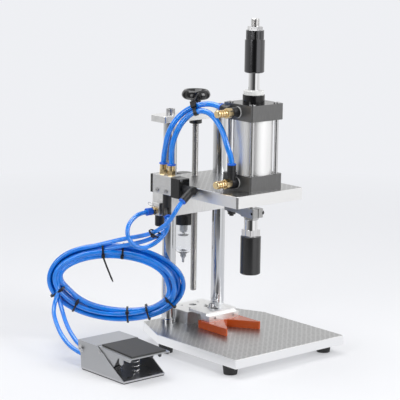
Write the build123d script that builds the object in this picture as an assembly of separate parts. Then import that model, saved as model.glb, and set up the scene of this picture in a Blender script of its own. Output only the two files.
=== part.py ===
from build123d import *
import math
import os

os.makedirs("parts", exist_ok=True)

# Frame: origin on the work surface of the base, on the press axis.
# +X is the machine's right, +Y its back, +Z up. Lengths in millimetres.

# Clearances
fit = 0.05            # running or seating fit, on the radius
gap = 0.3             # between pieces that move past each other

# Base
base_half_w = 131.0
base_front = -110.0
base_rear = 185.0
base_t = 16.0
base_cut_start = 99.0
base_cut_w = 37.5
foot_d = 28.0
foot_h = 18.0
foot_x = 113.0
foot_front_y = -77.0
foot_rear_y = 96.0
floor_z = -(base_t + foot_h)

# Guide columns and bridge
col_d = 25.0
col_x = 60.0
col_y = 154.0
collar_d = 28.0
collar_h = 9.0
bridge_z = 374.0
bridge_half_w = 90.0
bridge_depth = 40.0
bridge_t = 12.0
column_bolt_d = 10.0
column_bolt_len = 30.0
bolt_sink = 10.6

# Crosshead
plate_wall = 6.5      # beside the columns
plate_half_w = col_x + col_d / 2 + plate_wall
plate_front = -49.0
plate_rear = 184.0
plate_top = 267.0
plate_t = 21.0
plate_bottom = plate_top - plate_t
block_depth = 50.0
block_h = 42.0
block_front = col_y - block_depth / 2
block_rear = col_y + block_depth / 2
block_bottom = plate_bottom - block_h

# Lead screw
screw_d = 12.0
journal_d = 10.0
screw_low = 52.0
nut_d = 24.0
nut_lip = 4.0
thrust_d = 23.0
thrust_h = 9.0
wheel_d = 52.6
wheel_top = 426.0
wheel_waist_z = 416.5
wheel_low_z = 409.0
wheel_lip_d = 42.0
wheel_dish_d = 37.0
wheel_dish_h = 6.0
wheel_neck_d = 27.0
wheel_hub_d = 18.0
wheel_foot_d = 22.0
wheel_lobes = 7
wheel_scallop_r = 9.0
wheel_scallop_depth = 2.6
wheel_turn = -131.0   # one scallop's bearing
wheel_bite = 14.0     # how far the journal reaches into the hub

# Cylinder
cap_w = 75.0
cap_h = 28.5
tube_od = 70.0
tube_id = 63.0
tube_len = 96.0
cap_r = 4.0
tie_spacing = 58.0
tie_d = 7.5
tie_nut_d = 12.0
tie_nut_h = 5.0
tie_nut_proud = 1.5
spigot_d = 35.0
spigot_h = 14.0
rod_d = 20.0
piston_h = 20.0
piston_fit = 0.1
boss_d = 39.0
boss_h = 14.0
bumper_d = 36.0
bumper_h = 7.5
stroke = 31.0
lower_cap_z = plate_top
upper_cap_z = lower_cap_z + cap_h + tube_len
cylinder_top = upper_cap_z + cap_h
boss_top = cylinder_top + boss_h
bumper_top = boss_top + bumper_h

# Stroke stop on the rod's upper end
stud_d = 14.0
stud_seat = 8.0       # the connector floor under the stud
sleeve_d = 35.0
sleeve_len = 57.0
sleeve_seat = 8.0
ring_d = 31.5
ring_h = 17.0
lock_nut_af = 24.0
lock_nut_h = 6.0
stud_proud = 14.5
sleeve_z = bumper_top + stroke + gap
ring_z = sleeve_z + sleeve_len
top_nut_z = ring_z + ring_h
stud_top = top_nut_z + lock_nut_h + stud_proud

# Torque arm, connector and crimping head on the rod's lower end
arm_top = 232.0
hub_half_w = 12.5
hub_front = -18.0
hub_back = 15.0
hub_h = 16.0
arm_w = 16.0
arm_len = 68.0
arm_t = 11.0
arm_drop = 2.0
web_len = 18.0
pin_y = 52.0
clamp_d = 5.0
clamp_inset = 4.0
clamp_sink = 3.0
pin_d = 10.0
pin_engage = 3.0
pin_washer_d = 17.0
pin_washer_t = 1.6
pin_nut_af = 13.0
pin_nut_h = 5.0
pin_tail_d = 8.0
pin_tail_h = 3.0
jam_nut_h = 4.0
connector_d = 25.0
connector_h = 31.0
flats_w = 24.5
flats_h = 12.0
neck_d = 14.0
neck_len = 10.0
head_d = 36.5
head_h = 68.5
head_bore = 26.0
head_bore_h = 34.0
collet_bore = 18.0
collet_h = 26.0
collet_slots = 8
collet_slot_w = 1.2
collet_travel = 5.0
jam_nut_z = arm_top - hub_h - jam_nut_h
connector_z = jam_nut_z - connector_h
head_z = connector_z - head_h

# Valve on the crosshead's left edge
valve_w = 24.0
valve_front = 76.0
valve_front_cap = 24.0
valve_body_len = 50.0
valve_rear_cap = 8.0
valve_z = 249.0
valve_h = 34.0
valve_x = -plate_half_w - valve_w / 2
port_pitch = 22.0
valve_screw_d = 4.0
valve_screw_grip = 12.0
valve_screw_proud = 0.6
valve_screw_z = plate_bottom + 10.0
spool_d = 10.0
spool_len = 42.0
spool_travel = 4.0
fitting_hex = 13.0
fitting_hex_h = 9.0
collar_od = 13.5
collar_len = 9.0
air_od = 10.0         # short hoses to the cylinder
signal_od = 8.0       # hoses to the pedal

# Air inlet block under the valve
inlet_w = 21.0
inlet_front = 135.0
inlet_rear = 157.0
inlet_z = 207.0
inlet_h = 23.0
silencer_d = 17.0
silencer_h = 21.0

# Filter regulator behind the columns
reg_x = 20.0
reg_w = 40.0
reg_front = 187.0
reg_body_z = 186.0
reg_body_h = 50.0
guard_d = 43.0
guard_h = 19.0
bowl_d = 38.0
bowl_low = 112.0
drain_d = 14.0
drain_flange_h = 2.5
drain_grip_d = 11.0
drain_grip_h = 6.0
drain_flutes = 10
drain_cone_h = 5.0
drain_barb_d = 4.5
drain_barb_h = 6.0
drain_neck_d = 6.0
knob_d = 30.0
knob_h = 27.0

# Bottle locator
vee_half_w = 42.0
vee_front = 15.0
vee_rear = 90.0
vee_t = 14.0
vee_mouth = 38.0
vee_depth = 48.0
vee_root_w = 8.0
rail_half_w = 36.0
rail_wing = 1.0
rail_front = 67.0
rail_plate_front = 75.0
rail_z = 24.0
rail_t = 5.0
rail_rear = 124.0
rail_hole_x = 22.0
rail_hole_d = 4.0
slot_w = 11.0
slot_front = 84.0
slot_rear = 120.0
slot_screw_y = 102.0
slot_bolt_d = 6.0
slot_bolt_grip = 14.0
slot_washer_d = 16.0
slot_washer_t = 1.6
stand_side_gap = 2.0
stand_half_w = col_x - collar_d / 2 - stand_side_gap
stand_front = 118.0
stand_rear = 178.0
tongue_half_w = 20.0
tongue_front = 94.0
stand_hole_x = 19.5
stand_hole_rows = (140.0, 163.0)
stand_hole_d = 5.0
stand_hole_depth = 12.0
tail_hole_d = 14.0

# Foot pedal
pedal_x = -254.0
pedal_half_w = 45.0
pedal_front = -15.5
pedal_rear = 111.5
pedal_h = 51.5
pedal_top = floor_z + pedal_h
sheet = 1.6
sole_t = 2.0
pedal_base_t = 3.0
cover_front = 59.5
pivot_y = 101.5
pivot_z = pedal_top - 13.5
pivot_d = 6.0
pivot_washer_d = 13.0
pivot_washer_t = 1.2
pivot_head_d = 9.5
pivot_head_h = 3.6
treadle_front = -30.5
treadle_drop = 4.0
flange_strip_h = 6.0
flange_lobe_y = 25.5   # from the treadle's front edge
flange_lobe_r = 5.0
flange_lobe_drop = 12.0
flange_step_y = 45.0
flange_low = 14.0     # below the pivot
flange_rear_low = 6.0
treadle_side_gap = 0.6
pad_t = 3.0
pedal_floor = floor_z + sole_t + pedal_base_t
pedal_valve_offset = 20.0
pedal_valve_x = pedal_x - pedal_valve_offset
pedal_valve_back = 28.0
pedal_valve_w = 32.0
pedal_valve_len = 40.0
pedal_valve_h = 21.0
plunger_d = 8.0
spring_offset = 3.0
spring_x = pedal_x + spring_offset
spring_y = 11.5
spring_d = 14.0
spring_wire = 1.8
spring_turns = 5

# Hose coil leaning on the left column
coil_half_w = 127.0
coil_half_h = 73.0
coil_band = 27.0
coil_thick = 28.0
coil_turn = -4.0
coil_heading = -41.2
coil_shift = -94.8
coil_z = 79.8

CENTRE = Align.CENTER
LOW = Align.MIN
UP = (0, 0, 1)


def box(x0, x1, y0, y1, z0, z1):
    """A block between two corners."""
    return Pos(x0, y0, z0) * Box(x1 - x0, y1 - y0, z1 - z0, align=(LOW, LOW, LOW))


def turned(x, y, z, d, h, towards=UP):
    """A round bar that starts at a point and runs towards a direction."""
    seat = Plane(origin=(x, y, z), z_dir=towards)
    return seat.location * Cylinder(d / 2, h, align=(CENTRE, CENTRE, LOW))


def hexagon(x, y, z, af, h, towards=UP):
    """A hexagonal bar with a given width across its flats."""
    seat = Plane(origin=(x, y, z), z_dir=towards)
    return extrude(seat * RegularPolygon(af / 2, 6, major_radius=False), h, dir=towards)


def mirrored(solid):
    """A solid with its mirror image across the machine's middle plane."""
    return [solid, mirror(solid, about=Plane.YZ)]


def cap_screw(x, y, z, d, grip, towards=UP):
    """A socket head screw whose head stands on a seat; its shank runs back from there."""
    away = Vector(*towards) * -1
    head = turned(x, y, z, d * 1.6, d, towards)
    socket = hexagon(*(Vector(x, y, z) + Vector(*towards) * d * 0.45), d * 0.8, d, towards)
    return head + turned(x, y, z, d, grip, tuple(away)) - socket


def route_radii(points):
    """The largest arc that both runs allow at each corner of a route."""
    radii = []
    for before, here, after in zip(points, points[1:], points[2:]):
        run_in = Vector(*here) - Vector(*before)
        run_out = Vector(*after) - Vector(*here)
        turn = math.radians(run_in.get_angle(run_out))
        shorter = min(run_in.length, run_out.length)
        radii.append(0.45 * shorter / math.tan(turn / 2))
    return radii


def hose(name, points, diameter):
    """A hose along straight runs joined by tangent arcs."""
    radii = route_radii(points)
    path = FilletPolyline(*points, radius=radii)
    start = Vector(*points[0])
    heading = Vector(*points[1]) - start
    tube = sweep(Plane(origin=start, z_dir=heading) * Circle(diameter / 2), path=path)
    expected = math.pi * diameter ** 2 / 4 * path.length
    print(name, "length", round(path.length), "radii", [round(r) for r in radii],
          "volume ratio", round(tube.volume / expected, 3))
    return tube


# Base
def make_base_plate():
    rear_half_w = base_half_w - base_cut_w
    outline = Polyline(
        (-base_half_w, base_front), (base_half_w, base_front), (base_half_w, base_cut_start),
        (rear_half_w, base_rear), (-rear_half_w, base_rear), (-base_half_w, base_cut_start),
        close=True)
    plate = extrude(make_face(outline), -base_t)
    upright = plate.edges().filter_by(Axis.Z)
    plate = fillet(upright, 2.0)
    plate = chamfer(plate.edges().group_by(Axis.Z)[-1], 0.8)
    for x in (-col_x, col_x):
        plate -= turned(x, col_y, 0, column_bolt_d + 2 * fit, base_t, (0, 0, -1))
        plate -= turned(x, col_y, -base_t, column_bolt_d * 1.6 + 1, bolt_sink, UP)
    return plate


def make_feet():
    foot = Pos(0, 0, floor_z) * Cone(foot_d / 2 - 2, foot_d / 2, foot_h, align=(CENTRE, CENTRE, LOW))
    foot -= turned(0, 0, floor_z, 9.0, 4.0)
    places = [(x, y) for x in (-foot_x, foot_x) for y in (foot_front_y, foot_rear_y)]
    return [Pos(x, y, 0) * foot for x, y in places]


def make_columns():
    column = turned(col_x, col_y, 0, col_d, bridge_z)
    column = chamfer(column.edges().group_by(Axis.Z)[-1], 1.0)
    bolt_hole = column_bolt_d + 2 * fit
    column -= turned(col_x, col_y, 0, bolt_hole, column_bolt_len)
    column -= turned(col_x, col_y, bridge_z, bolt_hole, column_bolt_len, (0, 0, -1))
    return mirrored(column)


def make_collars():
    collar = turned(-col_x, col_y, 0, collar_d, collar_h)
    collar = chamfer(collar.edges().group_by(Axis.Z)[-1], 1.0)
    collar -= turned(-col_x, col_y, -1, col_d + 2 * fit, collar_h + 2)
    return mirrored(collar)


def make_bridge():
    y0 = col_y - bridge_depth / 2
    bridge = box(-bridge_half_w, bridge_half_w, y0, y0 + bridge_depth, bridge_z, bridge_z + bridge_t)
    bridge = fillet(bridge.edges().filter_by(Axis.Z), 3.0)
    bridge = chamfer(bridge.edges().group_by(Axis.Z)[-1], 1.0)
    for x in (-col_x, col_x):
        bridge -= turned(x, col_y, bridge_z, column_bolt_d + 2 * fit, bridge_t)
    bridge -= turned(0, col_y, bridge_z, journal_d + 2 * fit, bridge_t)
    return bridge


def make_frame_screws():
    top = cap_screw(col_x, col_y, bridge_z + bridge_t, column_bolt_d, bridge_t + 18)
    low = cap_screw(col_x, col_y, -base_t + bolt_sink, column_bolt_d, base_t - bolt_sink + 18, (0, 0, -1))
    screws = mirrored(top) + mirrored(low)
    seat = rail_z + rail_t + slot_washer_t
    slot_screw = cap_screw(0, slot_screw_y, seat, slot_bolt_d, rail_t + slot_washer_t + slot_bolt_grip)
    slot_washer = turned(0, slot_screw_y, seat, slot_washer_d, slot_washer_t - gap / 3, (0, 0, -1))
    slot_washer -= turned(0, slot_screw_y, rail_z, slot_bolt_d + 2 * fit, 2 * slot_bolt_grip)
    return screws + [slot_screw, slot_washer]


# Locator
def make_stand():
    top = rail_z - gap / 2
    stand = box(-stand_half_w, stand_half_w, stand_front, stand_rear, 0, top)
    stand += box(-tongue_half_w, tongue_half_w, tongue_front, stand_front, 0, top)
    stand = chamfer(stand.edges().group_by(Axis.Z)[-1], 0.8)
    stand -= turned(0, slot_screw_y, top, slot_bolt_d + 2 * fit, slot_bolt_grip + 2, (0, 0, -1))
    stand -= turned(0, col_y, top, tail_hole_d, stand_hole_depth, (0, 0, -1))
    for x in (-stand_hole_x, stand_hole_x):
        for y in stand_hole_rows:
            stand -= turned(x, y, top, stand_hole_d, stand_hole_depth, (0, 0, -1))
    return stand


def make_vee_block():
    block = box(-vee_half_w, vee_half_w, vee_front, vee_rear, gap / 2, vee_t)
    outline = Polyline((-vee_mouth, vee_front), (vee_mouth, vee_front),
                       (vee_root_w / 2, vee_front + vee_depth), (-vee_root_w / 2, vee_front + vee_depth),
                       close=True)
    block -= extrude(Pos(0, 0, -1) * make_face(outline), vee_t + 2)
    block = chamfer(block.edges().group_by(Axis.Z)[-1], 0.6)
    return block


def make_rail():
    half_w = rail_half_w + rail_wing
    rail = box(-half_w, half_w, rail_plate_front, rail_rear, rail_z, rail_z + rail_t)
    rail = fillet(rail.edges().filter_by(Axis.Z), 2.0)
    rail += box(-rail_half_w, rail_half_w, rail_front, vee_rear, vee_t, rail_z)
    slot = Pos(0, (slot_front + slot_rear) / 2, 0) * SlotOverall(slot_rear - slot_front, slot_w, rotation=90)
    rail -= extrude(Pos(0, 0, rail_z - 1) * slot, rail_t + 2)
    for x in (-rail_hole_x, rail_hole_x):
        hole_z = (vee_t + rail_z) / 2
        rail -= turned(x, rail_front, hole_z, rail_hole_d, rail_plate_front - rail_front, (0, 1, 0))
    return rail


# Crosshead
def make_crosshead_plate():
    plate = box(-plate_half_w, plate_half_w, plate_front, plate_rear, plate_bottom, plate_top)
    plate = chamfer(plate.edges().filter_by(Axis.Z), 3.0)
    plate = chamfer(plate.edges().group_by(Axis.Z)[-1], 0.8)
    for x in (-col_x, col_x):
        plate -= turned(x, col_y, plate_bottom, col_d + 2 * fit, plate_t)
    plate -= turned(0, col_y, plate_bottom, nut_d + 2 * fit, plate_t - nut_lip)
    plate -= turned(0, col_y, plate_bottom, screw_d + 2 * fit, plate_t)
    plate -= turned(0, 0, plate_bottom, spigot_d + 2 * fit, plate_t)
    plate -= turned(0, pin_y, plate_bottom, pin_d + 2 * fit, plate_t)
    for y in valve_screw_rows():
        plate -= turned(-plate_half_w, y, valve_screw_z, valve_screw_d + 2 * fit, valve_screw_grip, (1, 0, 0))
    return plate


def make_bearing_block():
    block = box(-plate_half_w, plate_half_w, block_front, block_rear, block_bottom, plate_bottom)
    block = chamfer(block.edges().group_by(Axis.Z)[0], 1.0)
    for x in (-col_x, col_x):
        block -= turned(x, col_y, block_bottom, col_d + 2 * fit, block_h)
    block -= turned(0, col_y, block_bottom, screw_d + 2 * fit, block_h)
    block -= turned(0, col_y, block_bottom + nut_lip, nut_d + 2 * fit, block_h)
    return block


def make_lead_nut():
    nut = turned(0, col_y, block_bottom + nut_lip, nut_d, plate_top - nut_lip - block_bottom - nut_lip)
    return nut - turned(0, col_y, block_bottom, screw_d + 2 * fit, plate_top - block_bottom)


def make_crosshead_screws():
    head_x = -plate_half_w - valve_w - valve_screw_proud
    length = valve_w + valve_screw_grip
    return [turned(head_x, y, valve_screw_z, valve_screw_d, length, (1, 0, 0)) for y in valve_screw_rows()]


# Cylinder
def cap_blank(z):
    blank = extrude(Pos(0, 0, z) * RectangleRounded(cap_w, cap_w, cap_r), cap_h)
    for x in (-tie_spacing / 2, tie_spacing / 2):
        for y in (-tie_spacing / 2, tie_spacing / 2):
            blank -= turned(x, y, z, tie_d + 2 * fit, cap_h)
    blank -= turned(0, 0, z, rod_d + 2 * fit, cap_h)
    blank -= turned(-cap_w / 2, 0, z + cap_h / 2, port_thread_d + 2 * fit, 13.0, (1, 0, 0))
    return blank


port_thread_d = 16.0


def make_caps():
    lower = cap_blank(lower_cap_z)
    lower += turned(0, 0, lower_cap_z, spigot_d, spigot_h, (0, 0, -1))
    lower -= turned(0, 0, lower_cap_z - spigot_h, rod_d + 2 * fit, cap_h)
    upper = cap_blank(upper_cap_z)
    upper += turned(0, 0, cylinder_top, boss_d, boss_h)
    upper -= turned(0, 0, cylinder_top - 1, rod_d + 2 * fit, boss_h + 2)
    for x in (-tie_spacing / 2, tie_spacing / 2):
        for y in (-tie_spacing / 2, tie_spacing / 2):
            seat = tie_nut_h - tie_nut_proud
            upper -= turned(x, y, cylinder_top, tie_nut_d + 1, seat, (0, 0, -1))
    return [lower, upper]


def make_cylinder_tube():
    tube = turned(0, 0, lower_cap_z + cap_h, tube_od, tube_len)
    return tube - turned(0, 0, lower_cap_z + cap_h, tube_id, tube_len)


def make_tie_rods():
    rods = []
    nut_z = cylinder_top - (tie_nut_h - tie_nut_proud)
    for x in (-tie_spacing / 2, tie_spacing / 2):
        for y in (-tie_spacing / 2, tie_spacing / 2):
            rod = turned(x, y, lower_cap_z + 3, tie_d, nut_z - lower_cap_z - 3)
            rod += turned(x, y, nut_z, tie_nut_d, tie_nut_h)
            rod -= hexagon(x, y, nut_z + 2, 5.0, tie_nut_h)
            rods.append(rod)
    return rods


def make_bumper():
    bumper = turned(0, 0, boss_top, bumper_d, bumper_h)
    bumper = chamfer(bumper.edges().group_by(Axis.Z)[-1], 0.8)
    return bumper - turned(0, 0, boss_top, rod_d + 2 * fit, bumper_h)


# Ram
def make_piston_rod():
    shoulder_z = jam_nut_z + jam_nut_h
    rod = turned(0, 0, shoulder_z, rod_d, sleeve_z + sleeve_seat - shoulder_z)
    rod += turned(0, 0, connector_z + stud_seat, stud_d, shoulder_z - connector_z - stud_seat)
    rod += turned(0, 0, sleeve_z, stud_d, stud_top - sleeve_z)
    piston_z = upper_cap_z - gap - piston_h
    rod += turned(0, 0, piston_z, tube_id - 2 * piston_fit, piston_h)
    rod = chamfer(rod.edges().group_by(Axis.Z)[-1], 1.0)
    return rod


def make_stop_sleeve():
    sleeve = turned(0, 0, sleeve_z, sleeve_d, sleeve_len)
    sleeve = chamfer(sleeve.edges().group_by(Axis.Z)[0], 1.5)
    sleeve -= turned(0, 0, sleeve_z, rod_d + 2 * fit, sleeve_seat)
    return sleeve - turned(0, 0, sleeve_z, stud_d + 2 * fit, sleeve_len)


def make_stop_ring():
    ring = turned(0, 0, ring_z, ring_d, ring_h)
    flutes = 18
    for i in range(flutes):
        angle = 2 * math.pi * i / flutes
        r = ring_d / 2 + 0.9
        ring -= turned(r * math.cos(angle), r * math.sin(angle), ring_z + 2, 3.0, ring_h - 4)
    return ring - turned(0, 0, ring_z, stud_d + 2 * fit, ring_h)


def make_ram_nuts():
    top = hexagon(0, 0, top_nut_z, lock_nut_af, lock_nut_h)
    low = hexagon(0, 0, jam_nut_z, lock_nut_af, jam_nut_h)
    bore = turned(0, 0, jam_nut_z - 1, stud_d + 2 * fit, 600)
    return [top - bore, low - bore]


def make_torque_arm():
    arm = box(-hub_half_w, hub_half_w, hub_front, hub_back, arm_top - hub_h, arm_top)
    arm = fillet(arm.edges().filter_by(Axis.Z), 2.0)
    arm += box(-arm_w / 2, arm_w / 2, 0, arm_len - arm_w / 2, arm_top - arm_drop - arm_t, arm_top - arm_drop)
    arm += turned(0, arm_len - arm_w / 2, arm_top - arm_drop - arm_t, arm_w, arm_t)
    web_y = (hub_back - 1, hub_back + web_len)
    web = Polyline((web_y[0], arm_top - hub_h), (web_y[0], arm_top), (web_y[1], arm_top - arm_drop),
                   (web_y[1], arm_top - arm_drop - arm_t), close=True)
    arm += Pos(-arm_w / 2, 0, 0) * extrude(Plane.YZ * make_face(web), arm_w)
    arm -= turned(0, 0, arm_top - hub_h, rod_d + 2 * fit, hub_h)
    arm -= box(-0.8, 0.8, hub_front - 1, 0, arm_top - hub_h - 1, arm_top + 1)
    arm -= turned(0, pin_y, arm_top - hub_h, pin_d + 2 * fit, hub_h)
    clamp_at = (hub_front + clamp_inset, arm_top - hub_h / 2)
    arm -= turned(-hub_half_w, *clamp_at, clamp_d + 2 * fit, 2 * hub_half_w, (1, 0, 0))
    arm -= turned(hub_half_w - clamp_sink, *clamp_at, 1.9 * clamp_d, 2 * clamp_sink, (1, 0, 0))
    return arm


def make_guide_pin():
    top = plate_top + stroke + pin_engage
    low = arm_top - arm_drop - arm_t
    pin = turned(0, pin_y, low, pin_d, top - low)
    pin = chamfer(pin.edges().group_by(Axis.Z)[-1], 1.0)
    pin += turned(0, pin_y, low, pin_washer_d, pin_washer_t, (0, 0, -1))
    pin += hexagon(0, pin_y, low - pin_washer_t, pin_nut_af, pin_nut_h, (0, 0, -1))
    pin += turned(0, pin_y, low - pin_washer_t - pin_nut_h, pin_tail_d, pin_tail_h, (0, 0, -1))
    clamp_at = (hub_front + clamp_inset, arm_top - hub_h / 2)
    clamp = cap_screw(hub_half_w - clamp_sink, *clamp_at, clamp_d, 2 * hub_half_w - clamp_sink - 2, (1, 0, 0))
    return [pin, clamp]


def make_connector():
    body = turned(0, 0, connector_z, connector_d, connector_h)
    body = chamfer(body.edges().group_by(Axis.Z)[-1], 1.0)
    body += extrude(Pos(0, 0, connector_z) * RectangleRounded(flats_w, flats_w, 1.5), flats_h)
    body -= turned(0, 0, connector_z + stud_seat - gap, stud_d + 2 * fit, connector_h)
    body += turned(0, 0, connector_z, neck_d, neck_len, (0, 0, -1))
    return body


def make_crimp_head():
    head = turned(0, 0, head_z, head_d, head_h)
    head = chamfer(head.edges().group_by(Axis.Z)[0], 1.5)
    head = chamfer(head.edges().group_by(Axis.Z)[-1], 1.0)
    head -= turned(0, 0, head_z, head_bore, head_bore_h)
    head -= turned(0, 0, connector_z, neck_d + 2 * fit, neck_len + gap, (0, 0, -1))
    return head


def make_collet():
    outer = head_bore - 2 * gap
    low = head_z + 1.5
    collet = turned(0, 0, low, outer, collet_h)
    collet = chamfer(collet.edges().group_by(Axis.Z)[0], 1.2)
    collet -= turned(0, 0, low, collet_bore, collet_h - 6)
    collet -= turned(0, 0, low, 6.0, collet_h)
    blade = box(0, outer, -collet_slot_w / 2, collet_slot_w / 2, low - 1, low + collet_h - 10)
    for i in range(collet_slots):
        collet -= Rot(0, 0, 360 * i / collet_slots) * blade
    return collet


# Lead screw
def make_lead_screw():
    low_part = turned(0, col_y, screw_low, screw_d, bridge_z - gap - screw_low)
    low_part = chamfer(low_part.edges().group_by(Axis.Z)[0], 1.0)
    top = bridge_z + bridge_t + gap + wheel_bite
    screw = low_part + turned(0, col_y, bridge_z - 1, journal_d, top - bridge_z + 1)
    z = bridge_z - gap - thrust_h
    collar = turned(0, col_y, z, thrust_d, thrust_h)
    return [screw, collar - turned(0, col_y, z, screw_d + 2 * fit, thrust_h)]


def make_handwheel():
    """A lobed knob: a dished rim over a waist and a hub, turned about the screw and scalloped."""
    hub_low = bridge_z + bridge_t + gap
    floor = wheel_top - wheel_dish_h
    with_rim = [(0, hub_low), (wheel_foot_d / 2, hub_low), (wheel_hub_d / 2, hub_low + 9),
                (wheel_hub_d / 2, wheel_low_z - 6)]
    neck = (wheel_neck_d / 2, wheel_low_z)
    widest = (wheel_d / 2, wheel_waist_z)
    lip = (wheel_lip_d / 2, wheel_top)
    inner_lip = (wheel_dish_d / 2, wheel_top - 0.6)
    profile = Polyline(*with_rim)
    profile += ThreePointArc(with_rim[-1], (wheel_hub_d / 2 + 0.9, wheel_low_z - 2.4), neck)
    profile += ThreePointArc(neck, (wheel_d / 2 - 2.4, wheel_low_z + 2.6), widest)
    profile += ThreePointArc(widest, (wheel_d / 2 - 1.5, wheel_top - 4.2), lip)
    profile += Polyline(lip, inner_lip, (wheel_dish_d / 2 - 6, floor), (0, floor), (0, hub_low))
    face = make_face(Plane.XZ * profile)
    wheel = Pos(0, col_y, 0) * revolve(face, Axis.Z)
    reach = wheel_d / 2 + wheel_scallop_r - wheel_scallop_depth
    for i in range(wheel_lobes):
        angle = math.radians(wheel_turn + 360 * i / wheel_lobes)
        x, y = reach * math.cos(angle), col_y + reach * math.sin(angle)
        wheel -= turned(x, y, wheel_low_z, 2 * wheel_scallop_r, wheel_top - wheel_low_z)
    return wheel - turned(0, col_y, hub_low, journal_d + 2 * fit, wheel_bite + gap)


# Valve and fittings
def make_valve_body():
    y0 = valve_front + valve_front_cap
    x0, x1 = valve_x - valve_w / 2, valve_x + valve_w / 2
    body = box(x0, x1, y0, y0 + valve_body_len, valve_z, valve_z + valve_h)
    body = fillet(body.edges().filter_by(Axis.Y), 1.5)
    for y in port_rows():
        body -= turned(valve_x, y, valve_z + valve_h, 9.0 + 2 * fit, 6, (0, 0, -1))
    body -= turned(valve_x, port_rows()[0] + 11, valve_z, 9.0 + 2 * fit, 6)
    for y in valve_screw_rows():
        body -= turned(valve_x - valve_w / 2, y, valve_screw_z, valve_screw_d + 2 * fit, valve_w, (1, 0, 0))
    body -= turned(valve_x, y0, spool_z, spool_d + 2 * fit, valve_body_len, (0, 1, 0))
    return body


def make_spool():
    y0 = valve_front + valve_front_cap + gap
    spool = turned(valve_x, y0, spool_z, spool_d, spool_len, (0, 1, 0))
    for i in range(2):
        waist = y0 + spool_len * (0.28 + 0.3 * i)
        groove = turned(valve_x, waist, spool_z, spool_d + 1, 6, (0, 1, 0))
        spool -= groove - turned(valve_x, waist, spool_z, spool_d - 4, 6, (0, 1, 0))
    return spool


def port_rows():
    middle = valve_front + valve_front_cap + valve_body_len / 2 - 1
    return (middle - port_pitch / 2, middle + port_pitch / 2)


def valve_screw_rows():
    return port_rows()


def make_valve_caps():
    x0, x1 = valve_x - valve_w / 2, valve_x + valve_w / 2
    front = box(x0, x1, valve_front, valve_front + valve_front_cap, valve_z - 2, valve_z + valve_h - 1)
    front = chamfer(front.edges().group_by(Axis.Y)[0], 1.5)
    front -= turned(valve_x, valve_front, pilot_z, 9.0 + 2 * fit, 6, (0, 1, 0))
    y0 = valve_front + valve_front_cap + valve_body_len
    rear = box(x0, x1, y0, y0 + valve_rear_cap, valve_z, valve_z + valve_h - 1)
    rear = chamfer(rear.edges().group_by(Axis.Y)[-1], 1.5)
    return [front, rear]


pilot_z = 264.5
spool_z = valve_z + 19.0


def push_in(x, y, z, towards, hose_d, hexed=True):
    """A straight push-in fitting that stands on a port and takes a hose at its far end."""
    step = Vector(*towards)
    here = Vector(x, y, z)
    body = turned(*(here - step * 5), 9.0, 6, towards)
    if hexed:
        body += hexagon(*here, fitting_hex, fitting_hex_h, towards)
    else:
        body += turned(*here, fitting_hex, fitting_hex_h, towards)
    body += turned(*(here + step * fitting_hex_h), collar_od, collar_len, towards)
    return body - turned(*(here + step * (fitting_hex_h + collar_len - 6)), hose_d + 2 * fit, 8, towards)


def make_valve_fittings():
    fittings = [push_in(valve_x, y, valve_z + valve_h, UP, air_od) for y in port_rows()]
    inlet_x = -plate_half_w - inlet_w
    fittings.append(push_in(inlet_x, (inlet_front + inlet_rear) / 2, loop_port_z, (-1, 0, 0), signal_od))
    return fittings


loop_port_z = 215.0
elbow_len = 26.0
elbow_d = 14.0
elbow_knuckle = 0.5
elbow_way = Vector(-0.78, 0, -0.62).normalized()


def make_pilot_elbow():
    body = turned(valve_x, valve_front + 5, pilot_z, 9.0, 8, (0, -1, 0))
    body += turned(valve_x, valve_front, pilot_z, elbow_d, elbow_len, (0, -1, 0))
    corner = Vector(valve_x, valve_front - elbow_len + elbow_d / 2, pilot_z)
    body += Pos(*corner) * Sphere(elbow_d / 2 + elbow_knuckle)
    body += turned(*corner, elbow_d + elbow_knuckle, elbow_reach, tuple(elbow_way))
    mouth = corner + elbow_way * (elbow_reach - 6)
    return body - turned(*mouth, signal_od + 2 * fit, 8, tuple(elbow_way))


elbow_reach = 26.0
tee_z = 221.0
tee_d = 16.0
tee_low = 209.0
tee_reach = 22.0
tee_y = port_rows()[0] + 11
tee_way = Vector(-0.48, -0.72, -0.5).normalized()


def make_supply_tee():
    tee = turned(valve_x, tee_y, tee_low, tee_d, valve_z - tee_low)
    tee += turned(valve_x, tee_y, valve_z - 1, 9.0, 6)
    centre = Vector(valve_x, tee_y, tee_z)
    tee += turned(*centre, elbow_d, tee_reach, tuple(tee_way))
    tee -= turned(*(centre + tee_way * (tee_reach - 6)), signal_od + 2 * fit, 8, tuple(tee_way))
    return tee - turned(valve_x, tee_y, tee_low, signal_od + 2 * fit, 6)


def make_inlet_block():
    x1 = -plate_half_w
    block = box(x1 - inlet_w, x1, inlet_front, inlet_rear, inlet_z, inlet_z + inlet_h)
    block = chamfer(block.edges().group_by(Axis.X)[0], 1.0)
    middle = (inlet_front + inlet_rear) / 2
    block -= turned(x1 - inlet_w, middle, loop_port_z, 9.0 + 2 * fit, 6, (1, 0, 0))
    return block - turned(x1 - inlet_w / 2, middle, inlet_z, 8.0 + 2 * fit, 6)


def make_silencer():
    x, y = -plate_half_w - inlet_w / 2, (inlet_front + inlet_rear) / 2
    body = turned(x, y, inlet_z, silencer_d, silencer_h, (0, 0, -1))
    body = fillet(body.edges().group_by(Axis.Z)[0], 2.5)
    return body + turned(x, y, inlet_z - 1, 8.0, 6)


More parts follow.
